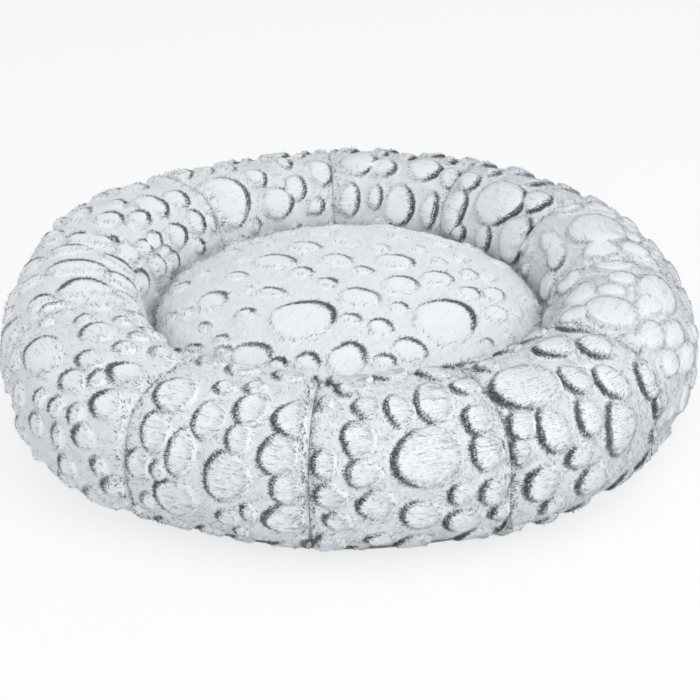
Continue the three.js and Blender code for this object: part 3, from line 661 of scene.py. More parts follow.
def blowOut(bm, shares, cells, outward, held, gathered):
    # how far each point of a grid-shaped skin moves outwards, as a grid of values
    grid = np.zeros((cells[0] + 1, cells[1] + 1))
    before = np.array([vert.co for vert in bm.verts])
    mesh = bpy.data.meshes.new("skin")
    bm.to_mesh(mesh)
    bm.free()
    skin = addToScene("skin", mesh)
    after = fillSkin(skin, held, gathered)
    bpy.data.objects.remove(skin)
    bpy.data.meshes.remove(mesh)
    scene.frame_set(1)
    moved = np.sum((after - before) * outward, axis=1)
    moved = puff["cap"] * np.tanh((moved - np.mean(moved[held < 1])) / puff["cap"]) * (1 - held)
    columns, rows = np.rint(shares * cells).astype(int).T
    grid[columns, rows] = moved
    free = np.zeros(grid.shape)
    free[columns, rows] = 1 - held
    for _ in range(puff["smoothing"]):
        beside = grid[:-2, 1:-1] + grid[2:, 1:-1] + grid[1:-1, :-2] + grid[1:-1, 2:]
        grid[1:-1, 1:-1] = (grid[1:-1, 1:-1] / 2 + beside / 8) * free[1:-1, 1:-1]
    return grid


def readGrid(grid, across, up):
    # value between the four grid points around each place; across and up run from 0 to 1
    x = across * (grid.shape[0] - 1)
    y = up * (grid.shape[1] - 1)
    left = np.clip(x.astype(int), 0, grid.shape[0] - 2)
    low = np.clip(y.astype(int), 0, grid.shape[1] - 2)
    x, y = x - left, y - low
    lower = grid[left, low] * (1 - x) + grid[left + 1, low] * x
    upper = grid[left, low + 1] * (1 - x) + grid[left + 1, low + 1] * x
    return lower * (1 - y) + upper * y


def blowRing():
    cells = (puff["columns"] * panelCount, puff["rows"])
    bm, shares = gridMesh(*cells)
    column = shares[:, 0] * panelCount
    bearing = np.interp(column, range(panelCount + 1), [*seamStarts, seamStarts[0] + 360])
    points, outward, _ = wallPoints(bearing, shares[:, 1], spots["valleyDepth"] + puff["start"])
    moveVerts(bm.verts, points)
    atSeam = np.abs(column - np.rint(column)) * puff["columns"] < 0.5
    atEnd = np.minimum(shares[:, 1], 1 - shares[:, 1]) * puff["rows"] < 0.5
    held = (atSeam | atEnd).astype(float)
    return blowOut(bm, shares, cells, outward, held, smoothStep(*puff["wellStart"], shares[:, 1]))


# Bolster panels

panelMesh = {
    "across": 74,
    "up": 148,
    "folds": 2,  # columns turned in at each seam
    "foldStep": 0.0032,
    "seamMargin": 0.0002,
    "creaseWidth": 0.0026,
    "creaseDepth": 0.0007,
    "creaseFlattening": 0.35,
    # painted shade in the seam's crease, on the plush under the pile
    "seamShade": 0.28,
    "seamFill": 0.0016,  # pile that stands into the dip beside a seam
    "seamFillWidth": 0.011,
    "wrinkleSize": 0.022,
    "wrinkleDepth": 0.0008,
    "wrinkleSeed": 20,
    "puckerPitch": 0.011,
    "puckerDepth": 0.0007,
    "puckerReach": 0.012,
    "puckerWander": 2.5,
    "puckerWanderSize": 0.03,
    "endStep": 0.5,  # of a fold, at the panel's two ends
    "growthStart": (0.0, 0.02),
    "growthEnd": (0.85, 0.93),  # shares up the wall where the pile gets thinner, out of sight
    "growthThinning": 0.6,
    "fluffStart": (0.77, 0.84),  # shares up the wall where longer pile stands against the cushion
    "fluffEnd": (0.95, 0.9),
    "backDepth": 0.0062,
    "backMargin": 0.0045,
    "backAcross": 14,
    "backUp": 30,
    "backEnd": 0.004,  # share of the wall that it leaves free at each end
    "frontMap": 0.78,  # shares of the OFBake map's width
    "backMap": 0.2,
}


def ringShapesAt(panel, spotList, rng):
    shares, rises, widths, heights, darkness = np.array([(*row, 1)[:5] for row in spotList], float).T
    span = seamEnds[panel] - seamStarts[panel]
    bearing = seamStarts[panel] + span * shares
    margin = spots["insideMargin"]
    inside = np.clip(bearing, seamStarts[panel] + margin, seamEnds[panel] - margin)
    places, outward, around = wallPoints(inside, rises, spots["valleyDepth"])
    around = unit(around - outward * np.sum(around * outward, -1, keepdims=True))
    reach = np.hypot(places[:, 0] - axis.x, places[:, 1] - axis.y)
    places = places + around * (np.radians(bearing - inside) * reach)[:, None]
    upward = np.cross(outward, around)
    darkness = darkness * spots["panelDarkness"][panel]
    moon, softness = spots["panelMoon"][panel], spots["panelSoftness"][panel]
    rows = zip(places, around, upward, widths, heights, darkness)
    return [spotShape(*row, moon, softness, rng) for row in rows]


def spotRows(panel):
    found = []
    panelTurn, rowTurn, spotTurn = rowSpots["wobbleTurns"]
    for low, high in rowSpots["stretches"][panel + 1]:
        for row in range(round((high - low) / rowSpots["pitch"]) + 1):
            for column, across in enumerate(rowSpots["columns"][row % 2]):
                phase = panelTurn * panel + rowTurn * row + spotTurn * column
                size = rowSpots["size"] + rowSpots["wobbleSize"] * math.sin(phase)
                along = low + rowSpots["pitch"] * row + rowSpots["wobbleAlong"] * math.cos(2 * phase)
                place = (across + rowSpots["wobbleAcross"] * math.sin(phase), along)
                found.append((*place, size, size, spots["restDarkness"][panel]))
    return found


def ringShapes(panel):
    rng = random.Random(spots["seed"] + panel)
    shapes = ringShapesAt(panel, [*ringSpots[panel + 1], *spotRows(panel)], rng)
    readStart, readEnd = spots["readStretches"][panel + 1]
    for size in spots["fillSizes"]:
        tries = []
        for _ in range(spots["fillTries"]):
            wide = size * rng.uniform(*spots["fillWide"])
            high = size * rng.uniform(*spots["fillHigh"])
            place = (rng.uniform(*spots["fillAcross"]), rng.uniform(*spots["fillUp"]))
            tries.append((*place, wide, high, spots["restDarkness"][panel]))
        for row, shape in zip(tries, ringShapesAt(panel, tries, rng)):
            read = readStart < row[1] < readEnd
            if read and size > spots["readFill"]:
                continue
            if roomFor(shapes, shape, spots["readGap"] if read else spots["gap"]):
                shapes.append(shape)
    return shapes


def makePanel(panel, material):
    bm, shares = gridMesh(panelMesh["across"], panelMesh["up"])
    across, up, folds = panelMesh["across"], panelMesh["up"], panelMesh["folds"]
    column = shares[:, 0] * across
    row = shares[:, 1] * up
    turnedIn = np.maximum(0, np.maximum(folds - column, column - (across - folds)))
    ends = np.maximum(0, np.maximum(1 - row, row - (up - 1)))
    share = np.clip((column - folds) / (across - 2 * folds), 0, 1)
    rise = np.clip((row - 1) / (up - 2), 0, 1)
    span = seamEnds[panel] - seamStarts[panel]
    margin = math.degrees(panelMesh["seamMargin"] / ring["outerRadius"])
    bearing = seamStarts[panel] + margin + (span - 2 * margin) * share
    base, outward, around = wallPoints(bearing, rise, spots["valleyDepth"])
    around = unit(around - outward * np.sum(around * outward, -1, keepdims=True))
    upward = np.cross(outward, around)

    shapes = ringShapes(panel)
    height, dark, _, _, _ = sculpt(base, around, upward, shapes)
    reach = np.hypot(base[:, 0] - axis.x, base[:, 1] - axis.y)
    toSeam = np.minimum(share, 1 - share) * math.radians(span) * reach
    crease = np.exp(-((toSeam / panelMesh["creaseWidth"]) ** 2))
    wander = panelMesh["puckerWander"] * softNoise(base, panelMesh["puckerWanderSize"], panel)
    pucker = np.sin(rise * arcLengths[-1] / panelMesh["puckerPitch"] * 2 * math.pi + wander)
    puckered = np.exp(-((toSeam / panelMesh["puckerReach"]) ** 2))
    lift = height * spots["rise"] * (1 - panelMesh["creaseFlattening"] * crease)
    lift += readGrid(blownRing, (panel + share) / panelCount, rise)
    lift += panelMesh["seamFill"] * np.exp(-((toSeam / panelMesh["seamFillWidth"]) ** 2))
    wrinkles = softNoise(base, panelMesh["wrinkleSize"], panelMesh["wrinkleSeed"] + panel)
    lift += panelMesh["wrinkleDepth"] * wrinkles
    lift += panelMesh["puckerDepth"] * pucker * puckered * (1 - crease)
    lift -= panelMesh["creaseDepth"] * crease
    lift -= panelMesh["foldStep"] * (turnedIn + panelMesh["endStep"] * ends)
    moveVerts(bm.verts, base + outward * lift[:, None])
    narrowUvs(bm, bm.faces, 0, panelMesh["frontMap"])
    addBacking(bm, panel)
    item = finishMesh(bm, f"plush_panel_{panel + 1:02d}", material)
    hairy = (turnedIn == 0) & (ends == 0)
    thinned = panelMesh["growthThinning"] * smoothStep(*panelMesh["growthEnd"], rise)
    growth = hairy * smoothStep(*panelMesh["growthStart"], rise) * (1 - thinned)
    fluff = smoothStep(*panelMesh["fluffStart"], rise) * smoothStep(*panelMesh["fluffEnd"], rise)
    turn = np.radians(bearing - panelMiddles[panel])
    cloth = np.column_stack([turn * reach, rise * arcLengths[-1], np.full(len(base), panel)])
    # the dark moons, with painted shade added in the seam's crease
    shaded = np.maximum(dark, panelMesh["seamShade"] * crease)
    storeCloth(item.data, {
        "dark": shaded, "growth": growth, "seam": crease, "fluff": fluff,
        "side": around, "outward": outward, "cloth": cloth,
    })
    return item, shapes


def storeCloth(mesh, values):
    # a panel's backing and the cushion's turned-in edge come after the pile side, and stay at zero
    for name, value in values.items():
        full = np.zeros((len(mesh.vertices), *value.shape[1:]))
        full[:len(value)] = value
        storeAttribute(mesh, name, "FLOAT_VECTOR" if value.ndim == 2 else "FLOAT", full)


def addBacking(bm, panel):
    # the woven back of the plush, a coarser sheet under the pile side
    front = set(bm.verts)
    made = bmesh.ops.create_grid(
        bm, x_segments=panelMesh["backAcross"], y_segments=panelMesh["backUp"], size=0.5, calc_uvs=True)
    verts = [vert for vert in bm.verts if vert not in front]
    shares = np.array([vert.co[:2] for vert in verts]) + 0.5
    span = seamEnds[panel] - seamStarts[panel]
    margin = math.degrees(panelMesh["backMargin"] / ring["outerRadius"])
    bearing = seamStarts[panel] + margin + (span - 2 * margin) * shares[:, 0]
    end = panelMesh["backEnd"]
    points, _, _ = wallPoints(bearing, end + (1 - 2 * end) * shares[:, 1], panelMesh["backDepth"])
    moveVerts(verts, points)
    faces = list({face for vert in made["verts"] for face in vert.link_faces})
    bmesh.ops.reverse_faces(bm, faces=faces)
    narrowUvs(bm, faces, 1 - panelMesh["backMap"], panelMesh["backMap"])


# Pile: short bent hairs, scattered over a sculpted cloth and then combed

pile = {
    "density": 1760000,  # hairs per square metre
    "cushionDensity": 1210000,
    "width": 0.00050,
    "darkWidth": 0.00046,
    "bend": (0.42, 0.07),  # how far along a hair its widest place is, and how high
    "tipRise": 0.05,
    "rootDepth": 0.0004,
    "lengthSpread": 0.3,
    "shadeSpread": 0.2,
    "seamFading": 0.6,  # of the moons that reach a seam
    "spotLength": 0.0040,
    "valleyLength": 0.0038,
    "moonLength": 0.0025,
    "lashLength": 0.0040,
    "lashShare": 0.25,
    "innerShortening": 0.5,  # of the white hairs beside a moon
    "spotLean": 5.0,  # degrees up from the cloth
    "valleyLean": 12.0,
    "moonLean": 14.0,
    "leanSpread": 5.0,
    "spotSwing": 8.0,
    "valleySwing": 50.0,
    "wildSwing": 45.0,  # more of it where the cloth is mottled
    "moonSwing": 20.0,
    "spotRoll": 10.0,
    "valleyRoll": 32.0,
    "flipShare": 0.15,
    "moonEdge": (0.35, 0.75),
    # tones of the hairs painted as shade
    "shadeTones": (0.35, 0.8),
    "darkTones": (0.68, 1.0),
    "streakGrey": 0.25,
    "plainStreak": 0.3,
    "streakTones": (0.2, 0.5),
    # chances of painted shade: a line along a spot's far rim, and self-shadow among the hairs in the valleys
    "rimShadowGrey": 0.30,
    "valleyShade": 0.5,
    "clumpSize": (0.0045, 0.002),  # along and across the nap
    "clumpEdge": (0.12, 0.5),
    # painted shade between combed strands, drawn out along the nap: its size, its strength with and without
    # matting, and its gain
    "grainSize": (0.016, 0.0013),
    "plainGrainShade": 0.24,
    "grainShade": 0.16,
    "spotShade": 0.22,  # painted shade on the spots, where the pile is matted
    "grainGain": 1.6,
    # painted shade in a seam's crease and the cushion's edge crease, as grey hairs and as dark ones
    "seamShadeGrey": 0.3,
    "seamShadeDark": 0.85,
    "seamShortening": 0.5,
    "seamLean": 14.0,
    "seamReach": 0.4,  # power that widens the seam's dark hairs, which are painted shade in its crease
    "seamEdge": (-0.1, 0.25),
    # painted shade in the groove between the cushion and the wall, as grey hairs
    "grooveShade": 0.9,
    "fluffSwing": 40.0,
    "fluffLength": 1.2,
    "fluffLean": 26.0,
    "seed": 5,
}


clothFields = ("dark", "growth", "seam", "fluff", "side", "outward", "cloth")


def makeHair():
    bm = bmesh.new()
    bendPlace, bendRise = pile["bend"]
    root = bm.verts.new((0, 0, 0))
    left = bm.verts.new((bendPlace, 0.5, bendRise))
    right = bm.verts.new((bendPlace, -0.5, bendRise))
    tip = bm.verts.new((1, 0, pile["tipRise"]))
    bm.faces.new((root, right, left))
    bm.faces.new((left, right, tip))
    mesh = bpy.data.meshes.new("hair")
    bm.to_mesh(mesh)
    bm.free()
    storeAttribute(mesh, "along", "FLOAT", [0, bendPlace, bendPlace, 1])
    item = addToScene("hair", mesh)
    item.hide_render = True
    return item


def readField(tree, name, kind="FLOAT"):
    node = addNode(tree, "GeometryNodeInputNamedAttribute", data_type=kind)
    node.inputs["Name"].default_value = name
    return node.outputs[0]


def storeField(tree, geometry, name, kind, domain, value):
    node = addNode(tree, "GeometryNodeStoreNamedAttribute", data_type=kind, domain=domain)
    node.inputs["Name"].default_value = name
    plug(tree, node.inputs["Geometry"], geometry)
    plug(tree, node.inputs["Value"], value)
    return node.outputs["Geometry"]


def newGeometryTree(name):
    tree = bpy.data.node_groups.new(name, "GeometryNodeTree")
    tree.interface.new_socket("Geometry", in_out="INPUT", socket_type="NodeSocketGeometry")
    tree.interface.new_socket("Geometry", in_out="OUTPUT", socket_type="NodeSocketGeometry")
    return tree, addNode(tree, "NodeGroupInput"), addNode(tree, "NodeGroupOutput")


def buildScatterTree():
    tree, given, result = newGeometryTree("scatterRoots")
    tree.interface.new_socket("Density", in_out="INPUT", socket_type="NodeSocketFloat")
    tree.interface.new_socket("Seed", in_out="INPUT", socket_type="NodeSocketInt")
    scatter = addNode(tree, "GeometryNodeDistributePointsOnFaces", distribute_method="RANDOM")
    plug(tree, scatter.inputs["Mesh"], given.outputs["Geometry"])
    density = calculate(tree, "MULTIPLY", readField(tree, "growth"), given.outputs["Density"])
    plug(tree, scatter.inputs["Density"], density)
    plug(tree, scatter.inputs["Seed"], given.outputs["Seed"])
    normal = scatter.outputs["Normal"]
    named = storeField(tree, scatter.outputs["Points"], "facing", "FLOAT_VECTOR", "POINT", normal)
    roots = addNode(tree, "GeometryNodePointsToVertices")
    plug(tree, roots.inputs[0], named)
    plug(tree, result.inputs["Geometry"], roots.outputs[0])
    return tree


def buildHairTree(hair, material):
    tree, given, result = newGeometryTree("combedHair")
    frameNode = addNode(tree, "FunctionNodeAxesToRotation", primary_axis="Z", secondary_axis="X")
    plug(tree, frameNode.inputs[0], readField(tree, "facing", "FLOAT_VECTOR"))
    plug(tree, frameNode.inputs[1], readField(tree, "heading", "FLOAT_VECTOR"))
    euler = addNode(tree, "FunctionNodeEulerToRotation")
    plug(tree, euler.inputs[0], readField(tree, "turns", "FLOAT_VECTOR"))
    turned = addNode(tree, "FunctionNodeRotateRotation", rotation_space="LOCAL")
    plug(tree, turned.inputs[0], frameNode.outputs[0])
    plug(tree, turned.inputs[1], euler.outputs[0])
    source = addNode(tree, "GeometryNodeObjectInfo")
    source.inputs["Object"].default_value = hair
    instances = addNode(tree, "GeometryNodeInstanceOnPoints")
    plug(tree, instances.inputs["Points"], given.outputs["Geometry"])
    plug(tree, instances.inputs["Instance"], source.outputs["Geometry"])
    plug(tree, instances.inputs["Rotation"], turned.outputs[0])
    plug(tree, instances.inputs["Scale"], readField(tree, "hairSize", "FLOAT_VECTOR"))
    real = addNode(tree, "GeometryNodeRealizeInstances")
    plug(tree, real.inputs[0], instances.outputs[0])
    place = addNode(tree, "ShaderNodeCombineXYZ")
    plug(tree, place.inputs["X"], readField(tree, "shade"))
    plug(tree, place.inputs["Y"], readField(tree, "along"))
    geometry = storeField(tree, real.outputs[0], "OFBake", "FLOAT2", "CORNER", place.outputs[0])
    for name in (*clothFields, "facing", "heading", "turns", "hairSize", "shade", "along"):
        remove = addNode(tree, "GeometryNodeRemoveAttribute")
        remove.inputs["Name"].default_value = name
        plug(tree, remove.inputs["Geometry"], geometry)
        geometry = remove.outputs[0]
    painted = addNode(tree, "GeometryNodeSetMaterial")
    painted.inputs["Material"].default_value = material
    plug(tree, painted.inputs["Geometry"], geometry)
    plug(tree, result.inputs["Geometry"], painted.outputs[0])
    return tree


def throughNodes(item, tree, settings=()):
    modifier = item.modifiers.new(tree.name, "NODES")
    modifier.node_group = tree
    inputs = [socket for socket in tree.interface.items_tree if socket.in_out == "INPUT"]
    sockets = {socket.name: socket.identifier for socket in inputs}
    for name, value in settings:
        modifier[sockets[name]] = value
    bpy.context.view_layer.update()
    shown = item.evaluated_get(bpy.context.evaluated_depsgraph_get())
    mesh = bpy.data.meshes.new_from_object(shown)
    item.modifiers.remove(modifier)
    return mesh


def readVectors(mesh, name):
    values = np.zeros(len(mesh.vertices) * 3, np.float32)
    mesh.attributes[name].data.foreach_get("vector", values)
    return values.reshape(-1, 3).astype(float)


def readValues(mesh, name):
    values = np.zeros(len(mesh.vertices), np.float32)
    mesh.attributes[name].data.foreach_get("value", values)
    return values.astype(float)


def clothNoise(cloth, size):
    # soft noise drawn out along the nap
    along, across = size
    return np.array([noise.noise((u / along, v / across, sheet)) for u, v, sheet in cloth])


def combHairs(roots, shapes, mattedShade, rng):
    points = readVectors(roots, "position")
    facing = readVectors(roots, "facing")
    side = unit(readVectors(roots, "side"))
    outward = unit(readVectors(roots, "outward"))
    seam = readValues(roots, "seam")
    fluff = readValues(roots, "fluff")
    cloth = readVectors(roots, "cloth")
    combShade = clothNoise(cloth, pile["grainSize"])
    clump = smoothStep(*pile["clumpEdge"], clothNoise(cloth, pile["clumpSize"]))
    count = len(points)
    height, dark, streak, edge, nap = sculpt(points, side, np.cross(outward, side), shapes)

    def spread(low, high):
        return rng.uniform(low, high, count)

    inMoon = dark * (1 - pile["seamFading"] * seam) > spread(*pile["moonEdge"])
    seamClump = smoothStep(*pile["seamEdge"], clothNoise(cloth[:, [1, 0, 2]], pile["clumpSize"]))
    # dark hairs of painted shade in a seam's crease
    inSeam = mattedShade * pile["seamShadeDark"] * seam ** pile["seamReach"] * seamClump > spread(0, 1)
    isDark = inMoon | inSeam
    # grey hairs of painted shade: the line along a spot's far rim, self-shadow in the valleys, a seam's
    # crease and the groove by the cushion
    shadeChance = pile["rimShadowGrey"] * edge + mattedShade * pile["valleyShade"] * clump * (1 - height)
    shadeChance = shadeChance + pile["seamShadeGrey"] * seam + pile["grooveShade"] * fluff * clump
    inShade = shadeChance > spread(0, 1)
    isStreak = pile["streakGrey"] * streak * (pile["plainStreak"] + mattedShade) > spread(0, 1)
    # white hairs get painted shade between combed strands, and on the spots where the pile is matted
    white = (pile["plainGrainShade"] + mattedShade * pile["grainShade"]) * np.clip(pile["grainGain"] * combShade, 0, 1)
    white = white + mattedShade * pile["spotShade"] * height
    white = np.where(isStreak, spread(*pile["streakTones"]), white)
    tone = np.where(isDark, spread(*pile["darkTones"]), np.where(inShade, spread(*pile["shadeTones"]), white))
    shade = (1 - pile["shadeSpread"]) * tone + spread(0, pile["shadeSpread"])
    storeAttribute(roots, "shade", "FLOAT", shade)

    flipped = inMoon & (spread(0, 1) < pile["flipShare"])
    storeAttribute(roots, "heading", "FLOAT_VECTOR", nap * np.where(flipped, -1, 1)[:, None])
    lash = inMoon & (spread(0, 1) < pile["lashShare"])
    lean = pile["valleyLean"] + (pile["spotLean"] - pile["valleyLean"]) * height
    wild = mattedShade * (1 - height)
    lean = lean + pile["fluffLean"] * fluff + pile["seamLean"] * inSeam
    lean = np.where(inMoon, pile["moonLean"], lean) + spread(-1, 1) * pile["leanSpread"]
    swing = pile["valleySwing"] + (pile["spotSwing"] - pile["valleySwing"]) * height
    swing = swing + pile["wildSwing"] * np.maximum(wild, inSeam) + pile["fluffSwing"] * fluff
    swing = np.where(inMoon, pile["moonSwing"], swing) * spread(-1, 1)
    roll = (pile["valleyRoll"] + (pile["spotRoll"] - pile["valleyRoll"]) * height) * spread(-1, 1)
    storeAttribute(roots, "turns", "FLOAT_VECTOR", np.radians(np.column_stack([roll, -lean, swing])))
    length = pile["valleyLength"] + (pile["spotLength"] - pile["valleyLength"]) * height
    length = length * (1 - pile["innerShortening"] * streak) * (1 + pile["fluffLength"] * fluff)
    length = np.where(inSeam, length, length * (1 - pile["seamShortening"] * seam))
    length = np.where(inMoon, np.where(lash, pile["lashLength"], pile["moonLength"]), length)
    length = length * spread(1 - pile["lengthSpread"], 1 + pile["lengthSpread"])
    width = np.where(isDark, pile["darkWidth"], pile["width"])
    storeAttribute(roots, "hairSize", "FLOAT_VECTOR", np.column_stack([length, width, length]))
    sunk = points - facing * pile["rootDepth"]
    roots.vertices.foreach_set("co", np.ascontiguousarray(sunk, np.float32).ravel())


def growPile(cloth, name, shapes, density, mattedShade, seed):
    roots = throughNodes(cloth, scatterTree, (("Density", float(density)), ("Seed", seed)))
    combHairs(roots, shapes, mattedShade, np.random.default_rng(seed))
    carrier = addToScene(name + "_roots", roots)
    mesh = throughNodes(carrier, hairTree)
    bpy.data.objects.remove(carrier)
    mesh.name = name
    return addToScene(name, mesh)


# Materials

tones = {
    "white": (0.915, 0.935, 0.955),
    "shaded": (0.82, 0.835, 0.855),
    "grey": (0.3, 0.31, 0.335),
    "charcoal": (0.045, 0.048, 0.06),
    "root": (0.9, 0.905, 0.915),  # what the others are multiplied with at a hair's root: painted shade, where the pile covers the root
    "shine": 0.2,  # cloth and fibre shine little
}

plushCloth = {
    "roughness": 0.95,
    "hairRoughness": 0.9,
    "sheen": 0.1,
    "fibreScale": 900.0,
    "fibreDetail": 3.0,
    "darkShare": 0.85,
    "fibreShare": 0.2,
    "alongShift": 0.1,
    "bump": (0.4, 0.0006),  # strength and height, as in the ones below
}


def newMaterial(name, roughness, sheen=0.0):
    material = bpy.data.materials.new(name)
    material.use_nodes = True
    tree = material.node_tree
    shader = tree.nodes["Principled BSDF"]
    shader.inputs["Roughness"].default_value = roughness
    shader.inputs["Sheen Weight"].default_value = sheen
    shader.inputs["Specular IOR Level"].default_value = tones["shine"]
    return material, tree, shader


def mixColors(tree, factor, first, second, mode="MIX"):
    node = addNode(tree, "ShaderNodeMix", data_type="RGBA", blend_type=mode)
    plug(tree, node.inputs[0], factor)
    plug(tree, node.inputs[6], first)
    plug(tree, node.inputs[7], second)
    return node.outputs[2]


def colorStops(tree, factor, stops):
    node = addNode(tree, "ShaderNodeValToRGB")
    plug(tree, node.inputs[0], factor)
    ramp = node.color_ramp
    while len(ramp.elements) < len(stops):
        ramp.elements.new(0.5)
    for element, (place, color) in zip(ramp.elements, stops):
        element.position = place
        element.color = (*color, 1)
    return node.outputs[0]


def addFibres(tree, scale, detail=2.0, distortion=0.0):
    # fine noise on the piece's own coordinates
    coordinates = addNode(tree, "ShaderNodeTexCoord")
    fibres = addNode(tree, "ShaderNodeTexNoise")
    fibres.inputs["Scale"].default_value = scale
    fibres.inputs["Detail"].default_value = detail
    fibres.inputs["Distortion"].default_value = distortion
    plug(tree, fibres.inputs["Vector"], coordinates.outputs["Object"])
    return fibres.outputs[0]


def addBump(tree, shader, height, strength, distance):
    bump = addNode(tree, "ShaderNodeBump")
    bump.inputs["Strength"].default_value = strength
    bump.inputs["Distance"].default_value = distance
    plug(tree, bump.inputs["Height"], height)
    plug(tree, shader.inputs["Normal"], bump.outputs[0])


def blendTone(first, second, share):
    return tuple(a * (1 - share) + b * share for a, b in zip(tones[first], tones[second]))


def buildFurTone():
    # group: hair colour from its shade and the place along it
    group = bpy.data.node_groups.new("furTone", "ShaderNodeTree")
    group.interface.new_socket("Shade", in_out="INPUT", socket_type="NodeSocketFloat")
    group.interface.new_socket("Along", in_out="INPUT", socket_type="NodeSocketFloat")
    group.interface.new_socket("Color", in_out="OUTPUT", socket_type="NodeSocketColor")
    given = addNode(group, "NodeGroupInput")
    result = addNode(group, "NodeGroupOutput")
    tone = colorStops(group, given.outputs["Shade"], (
        (0.0, blendTone("white", "shaded", 0.35)),
        (0.2, tones["white"]),
        (0.45, blendTone("shaded", "grey", 0.45)),
        (0.65, tones["grey"]),
        (0.8, blendTone("grey", "charcoal", 0.75)),
        (1.0, tones["charcoal"]),
    ))
    # painted shade towards the root
    root = colorStops(group, given.outputs["Along"], (
        (0.0, tones["root"]),
        (0.5, (1.0, 1.0, 1.0)),
    ))
    plug(group, result.inputs["Color"], mixColors(group, 1.0, tone, root, "MULTIPLY"))
    return group


def makePileMaterial(furTone):
    material, tree, shader = newMaterial("pileHair", plushCloth["hairRoughness"], plushCloth["sheen"])
    place = addNode(tree, "ShaderNodeUVMap", uv_map="OFBake")
    parts = addNode(tree, "ShaderNodeSeparateXYZ")
    plug(tree, parts.inputs[0], place.outputs[0])
    color = addNode(tree, "ShaderNodeGroup", node_tree=furTone)
    plug(tree, color.inputs["Shade"], parts.outputs["X"])
    plug(tree, color.inputs["Along"], parts.outputs["Y"])
    plug(tree, shader.inputs["Base Color"], color.outputs["Color"])
    return material


def makePlushMaterial(furTone):
    material, tree, shader = newMaterial("sculptedPlush", plushCloth["roughness"], plushCloth["sheen"])
    # the dark attribute holds the dark moons, and painted shade in a seam's crease
    dark = addNode(tree, "ShaderNodeAttribute", attribute_name="dark")
    fibres = addFibres(tree, plushCloth["fibreScale"], plushCloth["fibreDetail"])
    shade = calculate(tree, "MULTIPLY", dark.outputs["Fac"], plushCloth["darkShare"])
    fibreShade = calculate(tree, "MULTIPLY", fibres, plushCloth["fibreShare"])
    shade = calculate(tree, "ADD", shade, fibreShade, clamp=True)
    color = addNode(tree, "ShaderNodeGroup", node_tree=furTone)
    plug(tree, color.inputs["Shade"], shade)
    # painted root shade, here and there by the fibre noise
    plug(tree, color.inputs["Along"], calculate(tree, "ADD", fibres, plushCloth["alongShift"]))
    plug(tree, shader.inputs["Base Color"], color.outputs["Color"])
    addBump(tree, shader, fibres, *plushCloth["bump"])
    return material


# Cushion

cushion = {
    "radius": 0.1425,
    "seamHeight": 0.056,
    "crownHeight": 0.098,
    "underHeight": 0.0102,
    "topPowers": (2, 3),  # how full the section is, sideways and upwards
    "underPowers": (4, 2.5),
    "arcSteps": 300,
    "cells": 170,
    "underCells": 72,
    "underDepth": 0.0006,
    "creaseWidth": 0.006,
    "creaseDepth": 0.003,
    "creaseFlattening": 0.7,
    "foldStep": 0.003,
    "wrinkleSeed": 40,
    "puckers": 64,  # round the underside
    "puckerDepth": 0.0009,
    "puckerReach": 0.018,
    "puckerWander": 2.0,
    "puckerWanderSize": 0.04,
    "puckerSeed": 3,
    "slackDepth": 0.0011,
    "slackSize": 0.05,
    "slackEdge": (0.0, 0.03),
    "slackSeed": 60,
    "threadInset": 0.0045,
    "napTurn": 27.0,  # degrees from the back towards the right, where the moons face
    "sideGap": 0.0012,  # from the seam's height to each panel's turned-in edge
    "fluffWidth": 0.03,
    "overhang": 0.022,  # how far in from the seam hairs start to stand out over the gap
    "overhangPull": 2.0,
}


def domeProfile(half):
    # radius, height and outward direction from the middle of one half out to its edge seam
    spread, rise = cushion["topPowers"] if half > 0 else cushion["underPowers"]
    seamHeight = cushion["seamHeight"]
    height = cushion["crownHeight"] - seamHeight if half > 0 else seamHeight - cushion["underHeight"]
    angle = np.radians(np.linspace(90, 0, cushion["arcSteps"]))
    across = np.clip(np.cos(angle), 0, 1) ** (2 / spread)
    up = np.clip(np.sin(angle), 0, 1) ** (2 / rise)
    sideways = spread * across ** (spread - 1) / cushion["radius"]
    upwards = rise * up ** (rise - 1) / height
    slope = np.hypot(sideways, upwards)
    level = seamHeight + half * height * up
    return cushion["radius"] * across, level, sideways / slope, half * upwards / slope


profiles = {half: domeProfile(half) for half in (1, -1)}
slopes = {
    half: np.concatenate([[0], np.cumsum(np.hypot(np.diff(rows[0]), np.diff(rows[1])))])
    for half, rows in profiles.items()
}


def domePoints(flat, half, depth):
    # points over a disc of radius 1 laid on one half of the cushion, evenly along its slope
    radius, height, sideways, upwards = profiles[half]
    lengths = slopes[half]
    share = np.minimum(np.hypot(flat[:, 0], flat[:, 1]), 1)
    direction = unit(flat)
    at = share * lengths[-1]
    reach = np.interp(at, lengths, radius)
    level = np.interp(at, lengths, height)
    side = np.interp(at, lengths, sideways)
    top = np.interp(at, lengths, upwards)
    outward = np.column_stack([direction * side[:, None], top])
    points = np.column_stack([axis.x + direction[:, 0] * reach, axis.y + direction[:, 1] * reach, level])
    return points - outward * np.reshape(depth, (-1, 1)), unit(outward), (1 - share) * lengths[-1]


def discShares(bm):
    # grid places turned into places on a disc of radius 1
    square = np.array([vert.co[:2] for vert in bm.verts]) * 2
    x = square[:, 0] * np.sqrt(1 - square[:, 1] ** 2 / 2)
    y = square[:, 1] * np.sqrt(1 - square[:, 0] ** 2 / 2)
    return np.column_stack([x, y])


def napOver(outward):
    turn = math.radians(cushion["napTurn"])
    flat = np.tile((-math.sin(turn), -math.cos(turn), 0.0), (len(outward), 1))
    return unit(flat - outward * np.sum(flat * outward, -1, keepdims=True))


